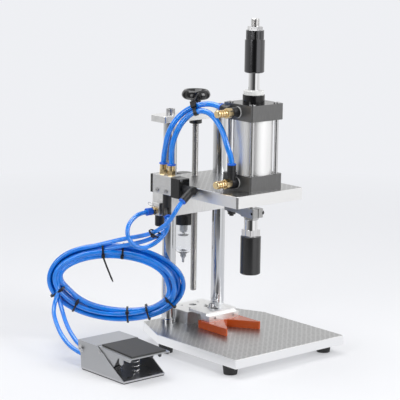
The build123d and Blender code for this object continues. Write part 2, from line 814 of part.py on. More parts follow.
# Flow controls on the cylinder
banjo_d = 20.0
banjo_x = -cap_w / 2
washer_t = 1.5
banjo_len = 14.0
hex_len = 12.0
nut_af = 16.0
needle_len = 22.0
needle_d = 6.0
needle_grooves = 3
needle_groove_w = 2.2
socket_d = 15.0
socket_ring_d = 18.0
socket_ring_h = 6.0
socket_mouth_h = 12.0
needle_knob_d = 13.5
lower_port_z = lower_cap_z + cap_h / 2
upper_port_z = upper_cap_z + cap_h / 2
socket_x = banjo_x - washer_t - banjo_len / 2 - 3
lower_reach = 32.0
lower_socket_top = lower_port_z + lower_reach
upper_way = Vector(0, 1, 0.2).normalized()
upper_reach = 27.0


def flow_control(z, way, reach):
    stem = turned(banjo_x + 12, 0, z, port_thread_d, 12 + washer_t, (-1, 0, 0))
    washer = turned(banjo_x, 0, z, banjo_d, washer_t, (-1, 0, 0))
    banjo = turned(banjo_x - washer_t, 0, z, banjo_d - 1, banjo_len, (-1, 0, 0))
    banjo = chamfer(banjo.edges().group_by(Axis.X)[0], 1.0)
    nut_x = banjo_x - washer_t - banjo_len
    nut = hexagon(nut_x, 0, z, nut_af, hex_len, (-1, 0, 0))
    taper = Cone(nut_af, nut_af * 0.52, 1.6 * hex_len, align=(CENTRE, CENTRE, LOW))
    nut &= Pos(nut_x, 0, z) * Rot(0, -90, 0) * taper
    socket = turned(socket_x, 0, z, socket_d, reach, tuple(way))
    ring = Vector(socket_x, 0, z) + way * (reach - socket_mouth_h - socket_ring_h)
    socket += turned(*ring, socket_ring_d, socket_ring_h, tuple(way))
    mouth = Vector(socket_x, 0, z) + way * (reach - 6)
    body = stem + washer + banjo + nut + socket
    body -= turned(*mouth, air_od + 2 * fit, 8, tuple(way))
    bore = turned(banjo_x - washer_t - banjo_len - hex_len, 0, z, needle_d + 2 * fit, 16, (1, 0, 0))
    return body - bore


def needle(z):
    x = banjo_x - washer_t - banjo_len - hex_len
    spindle = turned(x + 15, 0, z, needle_d, 16, (-1, 0, 0))
    knob = turned(x - gap, 0, z, needle_knob_d, needle_len - gap, (-1, 0, 0))
    knob = chamfer(knob.edges().group_by(Axis.X)[0], 1.0)
    for i in range(needle_grooves):
        groove_x = x - 2 - needle_len * (i + 0.4) / (needle_grooves + 1)
        ring = turned(groove_x, 0, z, needle_knob_d + 1, needle_groove_w, (-1, 0, 0))
        knob -= ring - turned(groove_x, 0, z, needle_knob_d - 3.5, needle_groove_w, (-1, 0, 0))
    return spindle + knob


# Filter regulator
reg_y = reg_front + reg_w / 2
guard_z = reg_body_z - guard_h


def make_regulator_body():
    body = box(reg_x - reg_w / 2, reg_x + reg_w / 2, reg_front, reg_front + reg_w, reg_body_z,
               reg_body_z + reg_body_h)
    body = chamfer(body.edges().filter_by(Axis.Z), 5.0)
    lug = box(reg_x - 14, reg_x + 14, block_rear, reg_front + 1, reg_body_z + 14, plate_bottom - 2)
    body += lug
    for side in (-1, 1):
        face = reg_x + side * reg_w / 2
        body -= turned(face, reg_y, reg_body_z + reg_body_h / 2, 11.0, 9.0, (-side, 0, 0))
    body += turned(reg_x, reg_y, guard_z, guard_d, guard_h)
    body -= turned(reg_x, reg_y, guard_z, bowl_d + 2 * fit, guard_h - 3)
    return body - turned(reg_x, reg_y, reg_body_z + reg_body_h - 10, 12.0 + 2 * gap, 10)


def make_filter_bowl():
    outer = turned(reg_x, reg_y, bowl_low, bowl_d, guard_z + guard_h - 3 - bowl_low)
    outer = fillet(outer.edges().group_by(Axis.Z)[0], 9.0)
    inner = turned(reg_x, reg_y, bowl_low + 3, bowl_d - 5, 200)
    inner = fillet(inner.edges().group_by(Axis.Z)[0], 7.0)
    bowl = outer - inner
    return bowl - turned(reg_x, reg_y, bowl_low - 1, drain_neck_d + 2 * fit, 6)


def make_drain_cock():
    """A turning drain: a flange under the bowl, a fluted grip, a cone and a barb."""
    top = bowl_low - gap
    cock = turned(reg_x, reg_y, top, drain_d, drain_flange_h, (0, 0, -1))
    grip_z = top - drain_flange_h
    cock += turned(reg_x, reg_y, grip_z, drain_grip_d, drain_grip_h, (0, 0, -1))
    for i in range(drain_flutes):
        angle = 2 * math.pi * i / drain_flutes
        x, y = drain_grip_d / 2 * math.cos(angle), drain_grip_d / 2 * math.sin(angle)
        cock -= turned(reg_x + x, reg_y + y, grip_z, 2.0, drain_grip_h, (0, 0, -1))
    cone_z = grip_z - drain_grip_h
    cone = Cone(drain_barb_d / 2, drain_grip_d / 2 - 1, drain_cone_h, align=(CENTRE, CENTRE, Align.MAX))
    cock += Pos(reg_x, reg_y, cone_z) * cone
    cock += turned(reg_x, reg_y, cone_z - drain_cone_h, drain_barb_d, drain_barb_h, (0, 0, -1))
    return cock + turned(reg_x, reg_y, bowl_low - 1, drain_neck_d, 5)


def make_regulator_knob():
    z = reg_body_z + reg_body_h + gap
    knob = turned(reg_x, reg_y, z, knob_d, knob_h)
    flutes = 16
    for i in range(flutes):
        angle = 2 * math.pi * i / flutes
        r = knob_d / 2 + 0.6
        knob -= turned(reg_x + r * math.cos(angle), reg_y + r * math.sin(angle), z + 4, 2.6, knob_h - 4)
    return knob + turned(reg_x, reg_y, z - 8, 12.0, 10)


# Foot pedal
def side_wall(x, lower_front):
    points = [(pedal_rear, pedal_top), (cover_front, pedal_top), (cover_front - 18, pedal_top - 10),
              (cover_front - 32, pedal_top - 20), (lower_front, pedal_floor), (pedal_rear - 9, pedal_floor),
              (pedal_rear - 7, pedal_top - 24), (pedal_rear, pedal_top - 15)]
    outline = Polyline(*[(x, y, z) for y, z in points], close=True)
    return extrude(make_face(outline), sheet, dir=(1, 0, 0))


def make_pedal_housing():
    x0, x1 = pedal_x - pedal_half_w, pedal_x + pedal_half_w
    housing = side_wall(x0, pedal_front + 2) + side_wall(x1 - sheet, pedal_front + 2)
    housing += box(x0, x1, cover_front, pedal_rear, pedal_top - sheet, pedal_top)
    housing += box(x0, x1, pedal_rear - sheet, pedal_rear, pedal_top - 14, pedal_top)
    housing += box(x0, x1, pedal_rear - 9 - sheet, pedal_rear - 9, pedal_floor, pedal_floor + 6)
    for x, way in ((x0, -1), (x1, 1)):
        pin = turned(x - way * 6, pivot_y, pivot_z, pivot_d, 6, (way, 0, 0))
        pin += turned(x, pivot_y, pivot_z, pivot_washer_d, pivot_washer_t, (way, 0, 0))
        pin += turned(x, pivot_y, pivot_z, pivot_head_d, pivot_head_h, (way, 0, 0))
        pin -= hexagon(x + way * (pivot_head_h - 2), pivot_y, pivot_z, 3.0, 3, (way, 0, 0))
        housing += pin
    return housing


def make_pedal_base():
    z = floor_z + sole_t
    x0, x1 = pedal_x - pedal_half_w, pedal_x + pedal_half_w
    plate = box(x0, x1, pedal_front, pedal_rear - 9, z, z + pedal_base_t)
    for x, y in pedal_holes():
        plate -= turned(x, y, z, pedal_hole_d, pedal_base_t)
    return plate


pedal_hole_d = 5.0
pedal_hole_x = 22.0


def pedal_holes():
    rows = (pedal_front + 14, pedal_rear - 24)
    return [(x, y) for x in (pedal_x - pedal_hole_x, pedal_x + pedal_hole_x) for y in rows]


def make_pedal_sole():
    x0, x1 = pedal_x - pedal_half_w, pedal_x + pedal_half_w
    sole = box(x0 + 1, x1 - 1, pedal_front + 1, pedal_rear - 10, floor_z, floor_z + sole_t)
    for x, y in pedal_holes():
        sole -= turned(x, y, floor_z, pedal_hole_d + 2, sole_t)
    return sole


treadle_half_w = pedal_half_w - sheet - treadle_side_gap
treadle_top = pedal_top - 0.6


def treadle_height(y):
    """The top of the treadle's plate; it falls gently towards its front."""
    return treadle_top - treadle_drop * (cover_front - y) / (cover_front - treadle_front)


def make_treadle():
    x0, x1 = pedal_x - treadle_half_w, pedal_x + treadle_half_w
    y_rear = cover_front - 1.0
    top = [(y_rear, treadle_height(y_rear)), (treadle_front, treadle_height(treadle_front))]
    plate_points = top + [(y, z - sheet) for y, z in reversed(top)]
    outline = Polyline(*[(x0, y, z) for y, z in plate_points], close=True)
    treadle = extrude(make_face(outline), x1 - x0, dir=(1, 0, 0))
    strip = flange_strip_h
    lobe_y = treadle_front + flange_lobe_y
    step_y = treadle_front + flange_step_y
    flange_points = [
        (treadle_front, treadle_height(treadle_front)), (y_rear, treadle_height(y_rear)),
        (y_rear + 3, pivot_z + 8), (pivot_y + 3, pivot_z + 7), (pivot_y + 6, pivot_z),
        (pivot_y, pivot_z - flange_rear_low), (step_y + 16, pivot_z - flange_low),
        (step_y, pivot_z - flange_low), (step_y - 8, treadle_height(step_y) - 2 * strip),
        (lobe_y + flange_lobe_r + 3, treadle_height(lobe_y) - strip),
        (treadle_front + 2, treadle_height(treadle_front) - strip),
        (treadle_front, treadle_height(treadle_front) - strip / 2)]
    for x in (x0, x1 - sheet):
        outline = Polyline(*[(x, y, z) for y, z in flange_points], close=True)
        treadle += extrude(make_face(outline), sheet, dir=(1, 0, 0))
        lobe_z = treadle_height(lobe_y) - flange_lobe_drop
        lobe_top = treadle_height(lobe_y) - strip + 1
        treadle += turned(x, lobe_y, lobe_z, 2 * flange_lobe_r, sheet, (1, 0, 0))
        treadle += box(x, x + sheet, lobe_y - flange_lobe_r, lobe_y + flange_lobe_r, lobe_z, lobe_top)
    treadle -= turned(x0 - 1, pivot_y, pivot_z, pivot_d + 2 * fit, 2 * treadle_half_w + 2, (1, 0, 0))
    return treadle


def make_treadle_pad():
    y_rear = cover_front - 5.0
    y_front = treadle_front + 3.0
    low = [(y_rear, treadle_height(y_rear)), (y_front, treadle_height(y_front))]
    points = low + [(y, z + pad_t) for y, z in reversed(low)]
    outline = Polyline(*[(pedal_x - treadle_half_w + 6, y, z) for y, z in points], close=True)
    return extrude(make_face(outline), 2 * treadle_half_w - 12, dir=(1, 0, 0))


pedal_valve_rear = pedal_rear - pedal_valve_back
plunger_y = pedal_valve_rear - pedal_valve_len + 10
pedal_port_z = pedal_floor + pedal_valve_h / 2 + 4
pedal_port_x = (pedal_valve_x - 9.0, pedal_valve_x + 9.0)
pedal_hose_y = pedal_valve_rear + fitting_hex_h + collar_len


def make_pedal_valve():
    x0 = pedal_valve_x - pedal_valve_w / 2
    body = box(x0, x0 + pedal_valve_w, pedal_valve_rear - pedal_valve_len, pedal_valve_rear, pedal_floor,
               pedal_floor + pedal_valve_h)
    body = chamfer(body.edges().group_by(Axis.Z)[-1], 1.0)
    body -= turned(pedal_valve_x, plunger_y, pedal_floor + 4, plunger_d + 2 * fit, pedal_valve_h)
    fittings = []
    for x in pedal_port_x:
        body -= turned(x, pedal_valve_rear, pedal_port_z, 9.0 + 2 * fit, 6, (0, -1, 0))
        fittings.append(push_in(x, pedal_valve_rear, pedal_port_z, (0, 1, 0), signal_od))
    return [body] + fittings


def make_plunger():
    low = pedal_floor + pedal_valve_h - 9
    top = treadle_height(plunger_y) - sheet - gap
    plunger = turned(pedal_valve_x, plunger_y, low, plunger_d, top - low)
    return fillet(plunger.edges().group_by(Axis.Z)[-1], 2.0)


def make_treadle_spring():
    low = pedal_floor + spring_wire / 2 + 0.1
    high = treadle_height(spring_y) - sheet - spring_wire / 2 - gap
    pitch = (high - low) / spring_turns
    r = (spring_d - spring_wire) / 2
    helix = Helix(pitch=pitch, height=high - low, radius=r, center=(spring_x, spring_y, low))
    start = helix @ 0
    return sweep(Plane(origin=start, z_dir=helix % 0) * Circle(spring_wire / 2), path=helix, is_frenet=True)


# Hoses
coil_way = Vector(math.cos(math.radians(coil_heading)), math.sin(math.radians(coil_heading)), 0)
coil_face = Vector(math.sin(math.radians(coil_heading)), -math.cos(math.radians(coil_heading)), 0)
coil_seat = Vector(-col_x, col_y, 0) + coil_face * (col_d / 2 + coil_thick / 2 + 0.5)
coil_centre = coil_seat + coil_way * coil_shift + Vector(0, 0, coil_z)


def make_coil():
    plane = Plane(origin=coil_centre, x_dir=coil_way, z_dir=coil_face)
    outline = Ellipse(coil_half_w, coil_half_h) - Ellipse(coil_half_w - coil_band, coil_half_h - coil_band)
    ring = extrude(plane * (Rot(0, 0, coil_turn) * outline), coil_thick / 2, both=True)
    return fillet(ring.edges(), 9.0)


hose_grip = 5.0       # how deep a hose sits in its fitting
hose_lead = 12.0      # how far it runs straight out of it


def entry(mouth, way):
    """Two points of a route: inside a fitting's mouth and straight out of it."""
    mouth = Vector(*mouth)
    way = Vector(*way).normalized()
    return [tuple(mouth - way * hose_grip), tuple(mouth + way * hose_lead)]


def leave(mouth, way):
    """The same two points for a route that ends in a fitting."""
    return entry(mouth, way)[::-1]


fitting_len = fitting_hex_h + collar_len
valve_mouth_z = valve_z + valve_h + fitting_len
elbow_mouth = Vector(valve_x, valve_front - elbow_len + elbow_d / 2, pilot_z) + elbow_way * elbow_reach
inlet_mouth = (-plate_half_w - inlet_w - fitting_len, (inlet_front + inlet_rear) / 2, loop_port_z)
tee_mouth = Vector(valve_x, tee_y, tee_z) + tee_way * tee_reach
upper_mouth = Vector(socket_x, 0, upper_port_z) + upper_way * upper_reach
lower_mouth = (socket_x, 0, lower_socket_top)

upper_cap_route = entry((valve_x, port_rows()[1], valve_mouth_z), UP) + [
    (-95, 126, 331), (-98, 117, 356), (-92, 107, 380), (-80, 96, 398), (-67, 78, 411),
    (-55, 56, 416)] + leave(upper_mouth, upper_way)
lower_cap_route = entry((valve_x, port_rows()[0], valve_mouth_z), UP) + [
    (-94, 109, 338), (-91, 101, 362), (-84, 92, 383), (-72, 77, 401), (-61, 55, 404), (-57, 34, 391),
    (-55, 17, 370), (-57, 5, 348)] + leave(lower_mouth, UP)
loop_route = entry(inlet_mouth, (-1, 0, 0)) + [
    (-148, 144, 211), (-166, 141, 199), (-173, 136, 181), (-165, 130, 164), (-150, 122, 156),
    (-133, 115, 161), (-120, 106, 173), (-112, 98, 188)] + leave(tee_mouth, tee_way)
pilot_upper_route = entry(elbow_mouth, elbow_way) + [
    (-129, 70, 212), (-131, 93, 195), (-130, 119, 182), (-136, 148, 172), (-149, 178, 164), (-163, 202, 150)]
supply_upper_route = entry((valve_x, tee_y, tee_low), (0, 0, -1)) + [
    (-95, 124, 184), (-105, 124, 170), (-121, 130, 163), (-136, 150, 160), (-146, 172, 153), (-158, 191, 142)]
pedal_mouths = [(x, pedal_hose_y, pedal_port_z) for x in pedal_port_x]
pilot_lower_route = [
    (-236, 262, 48), (-250, 252, 36), (-269, 219, 22), (-285, 178, 6), (-287, 147, -8)] + leave(
    pedal_mouths[0], (0, 1, 0))
supply_lower_route = [
    (-226, 252, 44), (-238, 240, 32), (-256, 204, 18), (-268, 169, 5), (-269, 144, -8)] + leave(
    pedal_mouths[1], (0, 1, 0))

coil = make_coil()

nodes = {
    "base_plate": make_base_plate(),
    "feet": make_feet(),
    "guide_columns": make_columns(),
    "column_collars": make_collars(),
    "top_bridge": make_bridge(),
    "frame_screws": make_frame_screws(),
    "locator_stand": make_stand(),
    "vee_block": make_vee_block(),
    "slotted_rail": make_rail(),
    "crosshead_plate": make_crosshead_plate(),
    "bearing_block": make_bearing_block(),
    "lead_nut": make_lead_nut(),
    "crosshead_screws": make_crosshead_screws(),
    "cylinder_caps": make_caps(),
    "cylinder_tube": make_cylinder_tube(),
    "tie_rods": make_tie_rods(),
    "bumper_washer": make_bumper(),
    "piston_rod": make_piston_rod(),
    "stop_sleeve": make_stop_sleeve(),
    "stop_ring": make_stop_ring(),
    "ram_nuts": make_ram_nuts(),
    "torque_arm": make_torque_arm(),
    "guide_pin": make_guide_pin(),
    "rod_connector": make_connector(),
    "crimp_head": make_crimp_head(),
    "crimp_collet": make_collet(),
    "lead_screw": make_lead_screw(),
    "handwheel": make_handwheel(),
    "valve_body": make_valve_body(),
    "valve_caps": make_valve_caps(),
    "valve_spool": make_spool(),
    "push_in_fittings": make_valve_fittings(),
    "pilot_elbow": make_pilot_elbow(),
    "supply_tee": make_supply_tee(),
    "inlet_block": make_inlet_block(),
    "silencer": make_silencer(),
    "lower_flow_control": flow_control(lower_port_z, Vector(0, 0, 1), lower_reach),
    "upper_flow_control": flow_control(upper_port_z, upper_way, upper_reach),
    "lower_needle": needle(lower_port_z),
    "upper_needle": needle(upper_port_z),
    "regulator_body": make_regulator_body(),
    "filter_bowl": make_filter_bowl(),
    "drain_cock": make_drain_cock(),
    "regulator_knob": make_regulator_knob(),
    "pedal_housing": make_pedal_housing(),
    "pedal_base": make_pedal_base(),
    "pedal_sole": make_pedal_sole(),
    "treadle": make_treadle(),
    "treadle_pad": make_treadle_pad(),
    "pedal_valve": make_pedal_valve(),
    "pedal_plunger": make_plunger(),
    "treadle_spring": make_treadle_spring(),
    "hose_coil": coil,
    "upper_cap_hose": hose("upper_cap_hose", upper_cap_route, air_od),
    "lower_cap_hose": hose("lower_cap_hose", lower_cap_route, air_od),
    "loop_hose": hose("loop_hose", loop_route, signal_od),
    "pilot_hose_upper": hose("pilot_hose_upper", pilot_upper_route, signal_od) - coil,
    "supply_hose_upper": hose("supply_hose_upper", supply_upper_route, signal_od) - coil,
    "pilot_hose_lower": hose("pilot_hose_lower", pilot_lower_route, signal_od) - coil,
    "supply_hose_lower": hose("supply_hose_lower", supply_lower_route, signal_od) - coil,
}

for name, shape in nodes.items():
    if isinstance(shape, list):
        shape = Compound(children=shape)
    export_step(shape, f"parts/{name}.step")
print(len(nodes), "nodes")
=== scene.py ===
import math

import bmesh
import bpy
from mathutils import Matrix, Vector


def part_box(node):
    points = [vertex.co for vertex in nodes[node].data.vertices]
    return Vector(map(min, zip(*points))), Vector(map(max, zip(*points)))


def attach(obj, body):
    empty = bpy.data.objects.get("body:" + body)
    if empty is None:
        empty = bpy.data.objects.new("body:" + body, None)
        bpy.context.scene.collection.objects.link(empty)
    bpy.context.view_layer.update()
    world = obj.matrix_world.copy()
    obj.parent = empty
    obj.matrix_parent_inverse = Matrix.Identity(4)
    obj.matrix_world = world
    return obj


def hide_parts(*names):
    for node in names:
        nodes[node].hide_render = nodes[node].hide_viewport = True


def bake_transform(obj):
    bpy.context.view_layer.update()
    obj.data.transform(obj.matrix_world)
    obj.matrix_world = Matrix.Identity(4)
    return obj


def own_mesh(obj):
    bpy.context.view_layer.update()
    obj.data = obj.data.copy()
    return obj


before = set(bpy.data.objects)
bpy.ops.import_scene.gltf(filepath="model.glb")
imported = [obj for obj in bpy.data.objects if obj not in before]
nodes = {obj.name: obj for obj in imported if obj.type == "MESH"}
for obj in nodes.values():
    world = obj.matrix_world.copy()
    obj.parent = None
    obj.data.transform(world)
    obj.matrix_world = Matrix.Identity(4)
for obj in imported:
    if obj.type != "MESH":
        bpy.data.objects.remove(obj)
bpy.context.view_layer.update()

MM = 0.001


def mm(*values):
    """A point in metres from millimetres."""
    return Vector(values) * MM


# Camera: the photograph's place, found from the machine's own edges
photo_px = 400
focal_px = 1740.1
azimuth = math.radians(-41.18)
elevation = math.radians(11.0)
roll = math.radians(0.88)
distance = 3.1267
origin_px = (248.73, 334.30)
sensor_mm = 36


def set_camera():
    """A camera that sees the origin at its pixel, rolled as the photograph is."""
    cos_a, sin_a = math.cos(azimuth), math.sin(azimuth)
    cos_e, sin_e = math.cos(elevation), math.sin(elevation)
    level = Vector((cos_a, sin_a, 0))
    rise = Vector((-sin_a * sin_e, cos_a * sin_e, cos_e))
    back = Vector((sin_a * cos_e, -cos_a * cos_e, sin_e))
    right = level * math.cos(roll) + rise * math.sin(roll)
    up = rise * math.cos(roll) - level * math.sin(roll)
    middle = photo_px / 2
    off_x = (origin_px[0] - middle) / focal_px * distance
    off_y = (origin_px[1] - middle) / focal_px * distance
    place = back * distance - right * off_x + up * off_y
    data = bpy.data.cameras.new("camera")
    data.sensor_width = sensor_mm
    data.lens = focal_px / photo_px * sensor_mm
    data.clip_start, data.clip_end = 0.1, 50
    camera = bpy.data.objects.new("camera", data)
    turn = Matrix((right, up, back)).transposed().to_4x4()
    camera.matrix_world = Matrix.Translation(place) @ turn
    bpy.context.scene.collection.objects.link(camera)
    bpy.context.scene.camera = camera


set_camera()


# Materials
def shader(name, colour, metallic, rough, **sockets):
    """A principled material, its node tree and its shader."""
    material = bpy.data.materials.new(name)
    material.use_nodes = True
    tree = material.node_tree
    bsdf = tree.nodes["Principled BSDF"]
    bsdf.inputs["Base Color"].default_value = (*colour, 1)
    bsdf.inputs["Metallic"].default_value = metallic
    bsdf.inputs["Roughness"].default_value = rough
    for socket, value in sockets.items():
        bsdf.inputs[socket.replace("_", " ")].default_value = value
    return material, tree, bsdf


def add(tree, kind, **settings):
    """A new node; each setting goes to the input of that name, or else to the node itself."""
    node = tree.nodes.new(kind)
    for key, value in settings.items():
        if key in node.inputs:
            node.inputs[key].default_value = value
        else:
            setattr(node, key, value)
    return node


def noise(tree, scale, stretch=(1, 1, 1), detail=4.0):
    """Noise in the object's own metres, stretched along its axes."""
    where = add(tree, "ShaderNodeTexCoord")
    mapping = add(tree, "ShaderNodeMapping", Scale=stretch)
    tree.links.new(where.outputs["Object"], mapping.inputs["Vector"])
    texture = add(tree, "ShaderNodeTexNoise", Scale=scale, Detail=detail)
    tree.links.new(mapping.outputs["Vector"], texture.inputs["Vector"])
    return texture


def map_range(tree, value, from_low, from_high, to_low=0.0, to_high=1.0):
    node = add(tree, "ShaderNodeMapRange")
    limits = {"From Min": from_low, "From Max": from_high, "To Min": to_low, "To Max": to_high}
    for socket, limit in limits.items():
        node.inputs[socket].default_value = limit
    tree.links.new(value, node.inputs["Value"])
    return node.outputs["Result"]


def combine(tree, operation, first, second):
    """One number from two, such as their product or the larger one."""
    node = add(tree, "ShaderNodeMath", operation=operation)
    tree.links.new(first, node.inputs[0])
    tree.links.new(second, node.inputs[1])
    return node.outputs["Value"]


def vary_rough(tree, bsdf, texture, low, high):
    rough = map_range(tree, texture.outputs["Fac"], 0.0, 1.0, low, high)
    tree.links.new(rough, bsdf.inputs["Roughness"])


def vary_colour(tree, bsdf, texture, dark, light, low=0.35, high=0.65):
    ramp = add(tree, "ShaderNodeValToRGB")
    ramp.color_ramp.elements[0].position = low
    ramp.color_ramp.elements[0].color = (*dark, 1)
    ramp.color_ramp.elements[1].position = high
    ramp.color_ramp.elements[1].color = (*light, 1)
    tree.links.new(texture.outputs["Fac"], ramp.inputs["Fac"])
    tree.links.new(ramp.outputs["Color"], bsdf.inputs["Base Color"])


def mix_colours(tree, share, plain, linked):
    """A plain colour that gives way to a linked one as the share grows."""
    node = add(tree, "ShaderNodeMix", data_type="RGBA")
    factor, first, second = (next(socket for socket in node.inputs if socket.identifier == name)
                             for name in ("Factor_Float", "A_Color", "B_Color"))
    tree.links.new(share, factor)
    first.default_value = (*plain, 1)
    tree.links.new(linked, second)
    return next(socket for socket in node.outputs if socket.identifier == "Result_Color")


def bump(tree, bsdf, output, strength, height=0.0002):
    node = add(tree, "ShaderNodeBump", Strength=strength, Distance=height)
    tree.links.new(output, node.inputs["Height"])
    tree.links.new(node.outputs["Normal"], bsdf.inputs["Normal"])


def brushed(name, colour, rough, stretch, metallic=1.0, spread=0.08, tone=0.06, marks_depth=0.12):
    """Metal with fine marks along one direction."""
    material, tree, bsdf = shader(name, colour, metallic, rough)
    marks = noise(tree, 30, stretch)
    vary_rough(tree, bsdf, marks, rough - spread, rough + spread)
    dark = [max(0, c - tone) for c in colour]
    light = [min(1, c + tone) for c in colour]
    vary_colour(tree, bsdf, marks, dark, light)
    bump(tree, bsdf, marks.outputs["Fac"], marks_depth)
    return material


def milled(name, top, side):
    """Aluminium plate: short cutter marks in rows on the flat top, brighter ground edges."""
    rough = 0.34
    material, tree, bsdf = shader(name, side, 1.0, rough)
    where = add(tree, "ShaderNodeTexCoord")
    rows = add(tree, "ShaderNodeTexBrick", Scale=42.0)
    rows.offset = 0.5
    rows.inputs["Color1"].default_value = (*top, 1)
    rows.inputs["Color2"].default_value = (*[c * 0.87 for c in top], 1)
    rows.inputs["Mortar"].default_value = (*[min(1, c * 1.55) for c in top], 1)
    rows.inputs["Mortar Size"].default_value = 0.05
    rows.inputs["Mortar Smooth"].default_value = 0.3
    tree.links.new(where.outputs["Object"], rows.inputs["Vector"])
    normal = add(tree, "ShaderNodeSeparateXYZ")
    tree.links.new(where.outputs["Normal"], normal.inputs["Vector"])
    facing = map_range(tree, normal.outputs["Z"], 0.6, 0.95)
    blended = mix_colours(tree, facing, side, rows.outputs["Color"])
    tree.links.new(blended, bsdf.inputs["Base Color"])
    marks = noise(tree, 26, (3, 90, 90))
    vary_rough(tree, bsdf, marks, rough - 0.07, rough + 0.08)
    bump(tree, bsdf, marks.outputs["Fac"], 0.10)
    return material


def moulded(name, colour, rough, grain=0.10, **sockets):
    """Moulded plastic or rubber with a fine skin."""
    material, tree, bsdf = shader(name, colour, 0.0, rough, **sockets)
    skin = noise(tree, 900, detail=3)
    vary_rough(tree, bsdf, skin, rough - 0.06, rough + 0.06)
    bump(tree, bsdf, skin.outputs["Fac"], grain, 0.0001)
    return material


def painted(name, colour, rough, metallic):
    """Silver paint: a metal flake in a satin coat."""
    material, tree, bsdf = shader(name, colour, metallic, rough)
    flake = noise(tree, 1600, detail=2)
    dark = [c * 0.94 for c in colour]
    light = [min(1, c * 1.05) for c in colour]
    vary_colour(tree, bsdf, flake, dark, light, 0.3, 0.7)
    bump(tree, bsdf, flake.outputs["Fac"], 0.05, 0.0001)
    return material


def tubing(name, colour):
    """Blue polyurethane tube: glossy, with the soft depth of a clear wall."""
    material, tree, bsdf = shader(name, colour, 0.0, 0.16)
    bsdf.inputs["Subsurface Weight"].default_value = 0.15
    bsdf.inputs["Subsurface Radius"].default_value = (0.002, 0.004, 0.010)
    bsdf.inputs["Coat Weight"].default_value = 0.8
    bsdf.inputs["Coat Roughness"].default_value = 0.10
    bsdf.inputs["Coat IOR"].default_value = 1.6
    soft = noise(tree, 40, detail=2)
    dark = [c * 0.86 for c in colour]
    light = [min(1, c * 1.12) for c in colour]
    vary_colour(tree, bsdf, soft, dark, light, 0.3, 0.7)
    return material


plate_mat = milled("milled_plate", (0.38, 0.38, 0.38), (0.94, 0.94, 0.94))
block_mat = brushed("satin_block", (0.84, 0.84, 0.84), 0.36, (90, 3, 3), marks_depth=0.05)
chrome_mat = brushed("ground_chrome", (0.62, 0.63, 0.65), 0.12, (1, 1, 300), spread=0.03, tone=0.02,
                     marks_depth=0.02)
rod_mat = brushed("polished_rod", (0.82, 0.82, 0.83), 0.06, (1, 1, 400), spread=0.02, tone=0.02,
                  marks_depth=0.02)
tube_mat = brushed("cylinder_tube", (0.88, 0.88, 0.88), 0.44, (160, 160, 1), spread=0.04, tone=0.015,
                   marks_depth=0.02)
cap_mat = brushed("dark_cap", (0.17, 0.17, 0.17), 0.36, (60, 60, 4), 0.8, 0.05, 0.015, 0.04)
steel_mat = brushed("plain_steel", (0.52, 0.52, 0.53), 0.30, (40, 40, 40))
zinc_mat = brushed("zinc_rod", (0.62, 0.62, 0.63), 0.24, (2, 2, 300), tone=0.04)
thread_mat = brushed("thread_steel", (0.42, 0.41, 0.40), 0.28, (40, 40, 40))
brass_mat = brushed("brass", (0.93, 0.73, 0.42), 0.24, (40, 40, 40), tone=0.05)
sleeve_mat = brushed("black_anodised", (0.13, 0.13, 0.135), 0.14, (3, 3, 200), 1.0, 0.03, 0.006, 0.02)
# Black steel as a darker copy of the black anodised finish: its lower colour is painted shade for the crimp
# head's dimmer reflections near the floor; the guide pin, hook wire and screw collar share it
black_painted_shade_mat = brushed("black_steel", (0.075, 0.075, 0.076), 0.24, (3, 3, 200), 0.9, 0.04, 0.006, 0.03)
arm_mat = brushed("arm_alloy", (0.46, 0.46, 0.46), 0.34, (40, 40, 40))
valve_mat = brushed("valve_alloy", (0.66, 0.66, 0.66), 0.42, (60, 60, 60), 0.8)
black_mat = moulded("black_plastic", (0.016, 0.016, 0.018), 0.36)
cap_black_mat = moulded("valve_cap_black", (0.010, 0.010, 0.011), 0.26, 0.03)
rubber_mat = moulded("rubber", (0.022, 0.022, 0.022), 0.72, 0.3)
pad_mat = moulded("pad_rubber", (0.045, 0.045, 0.046), 0.62, 0.3)
white_mat = moulded("white_plastic", (0.78, 0.78, 0.76), 0.42)
wheel_mat = moulded("glossy_black", (0.006, 0.006, 0.007), 0.14, 0.01)
orange_mat = moulded("orange_nylon", (0.50, 0.082, 0.014), 0.22, 0.05)
pedal_mat = painted("pedal_paint", (0.42, 0.425, 0.435), 0.34, 0.6)
hose_mat = tubing("blue_hose", (0.001, 0.22, 0.80))
collar_mat = moulded("blue_collar", (0.015, 0.13, 0.66), 0.30)
drain_mat = moulded("drain_plastic", (0.40, 0.41, 0.43), 0.28, 0.05)
element_mat = moulded("filter_element", (0.80, 0.80, 0.79), 0.55, 0.1)
spring_mat = brushed("spring_wire", (0.88, 0.88, 0.88), 0.20, (40, 40, 40))
# Painted shade: a darker copy of the pedal paint for the housing walls' inner side
inner_shade_mat = painted("pedal_inside_painted_shade", (0.16, 0.16, 0.165), 0.34, 0.6)


def clear_bowl():
    """Clear plastic, with a low index so that what is inside shows."""
    material, tree, bsdf = shader("clear_bowl", (0.90, 0.91, 0.93), 0.0, 0.03)
    bsdf.inputs["Transmission Weight"].default_value = 1.0
    bsdf.inputs["IOR"].default_value = 1.28
    return material


bowl_mat = clear_bowl()

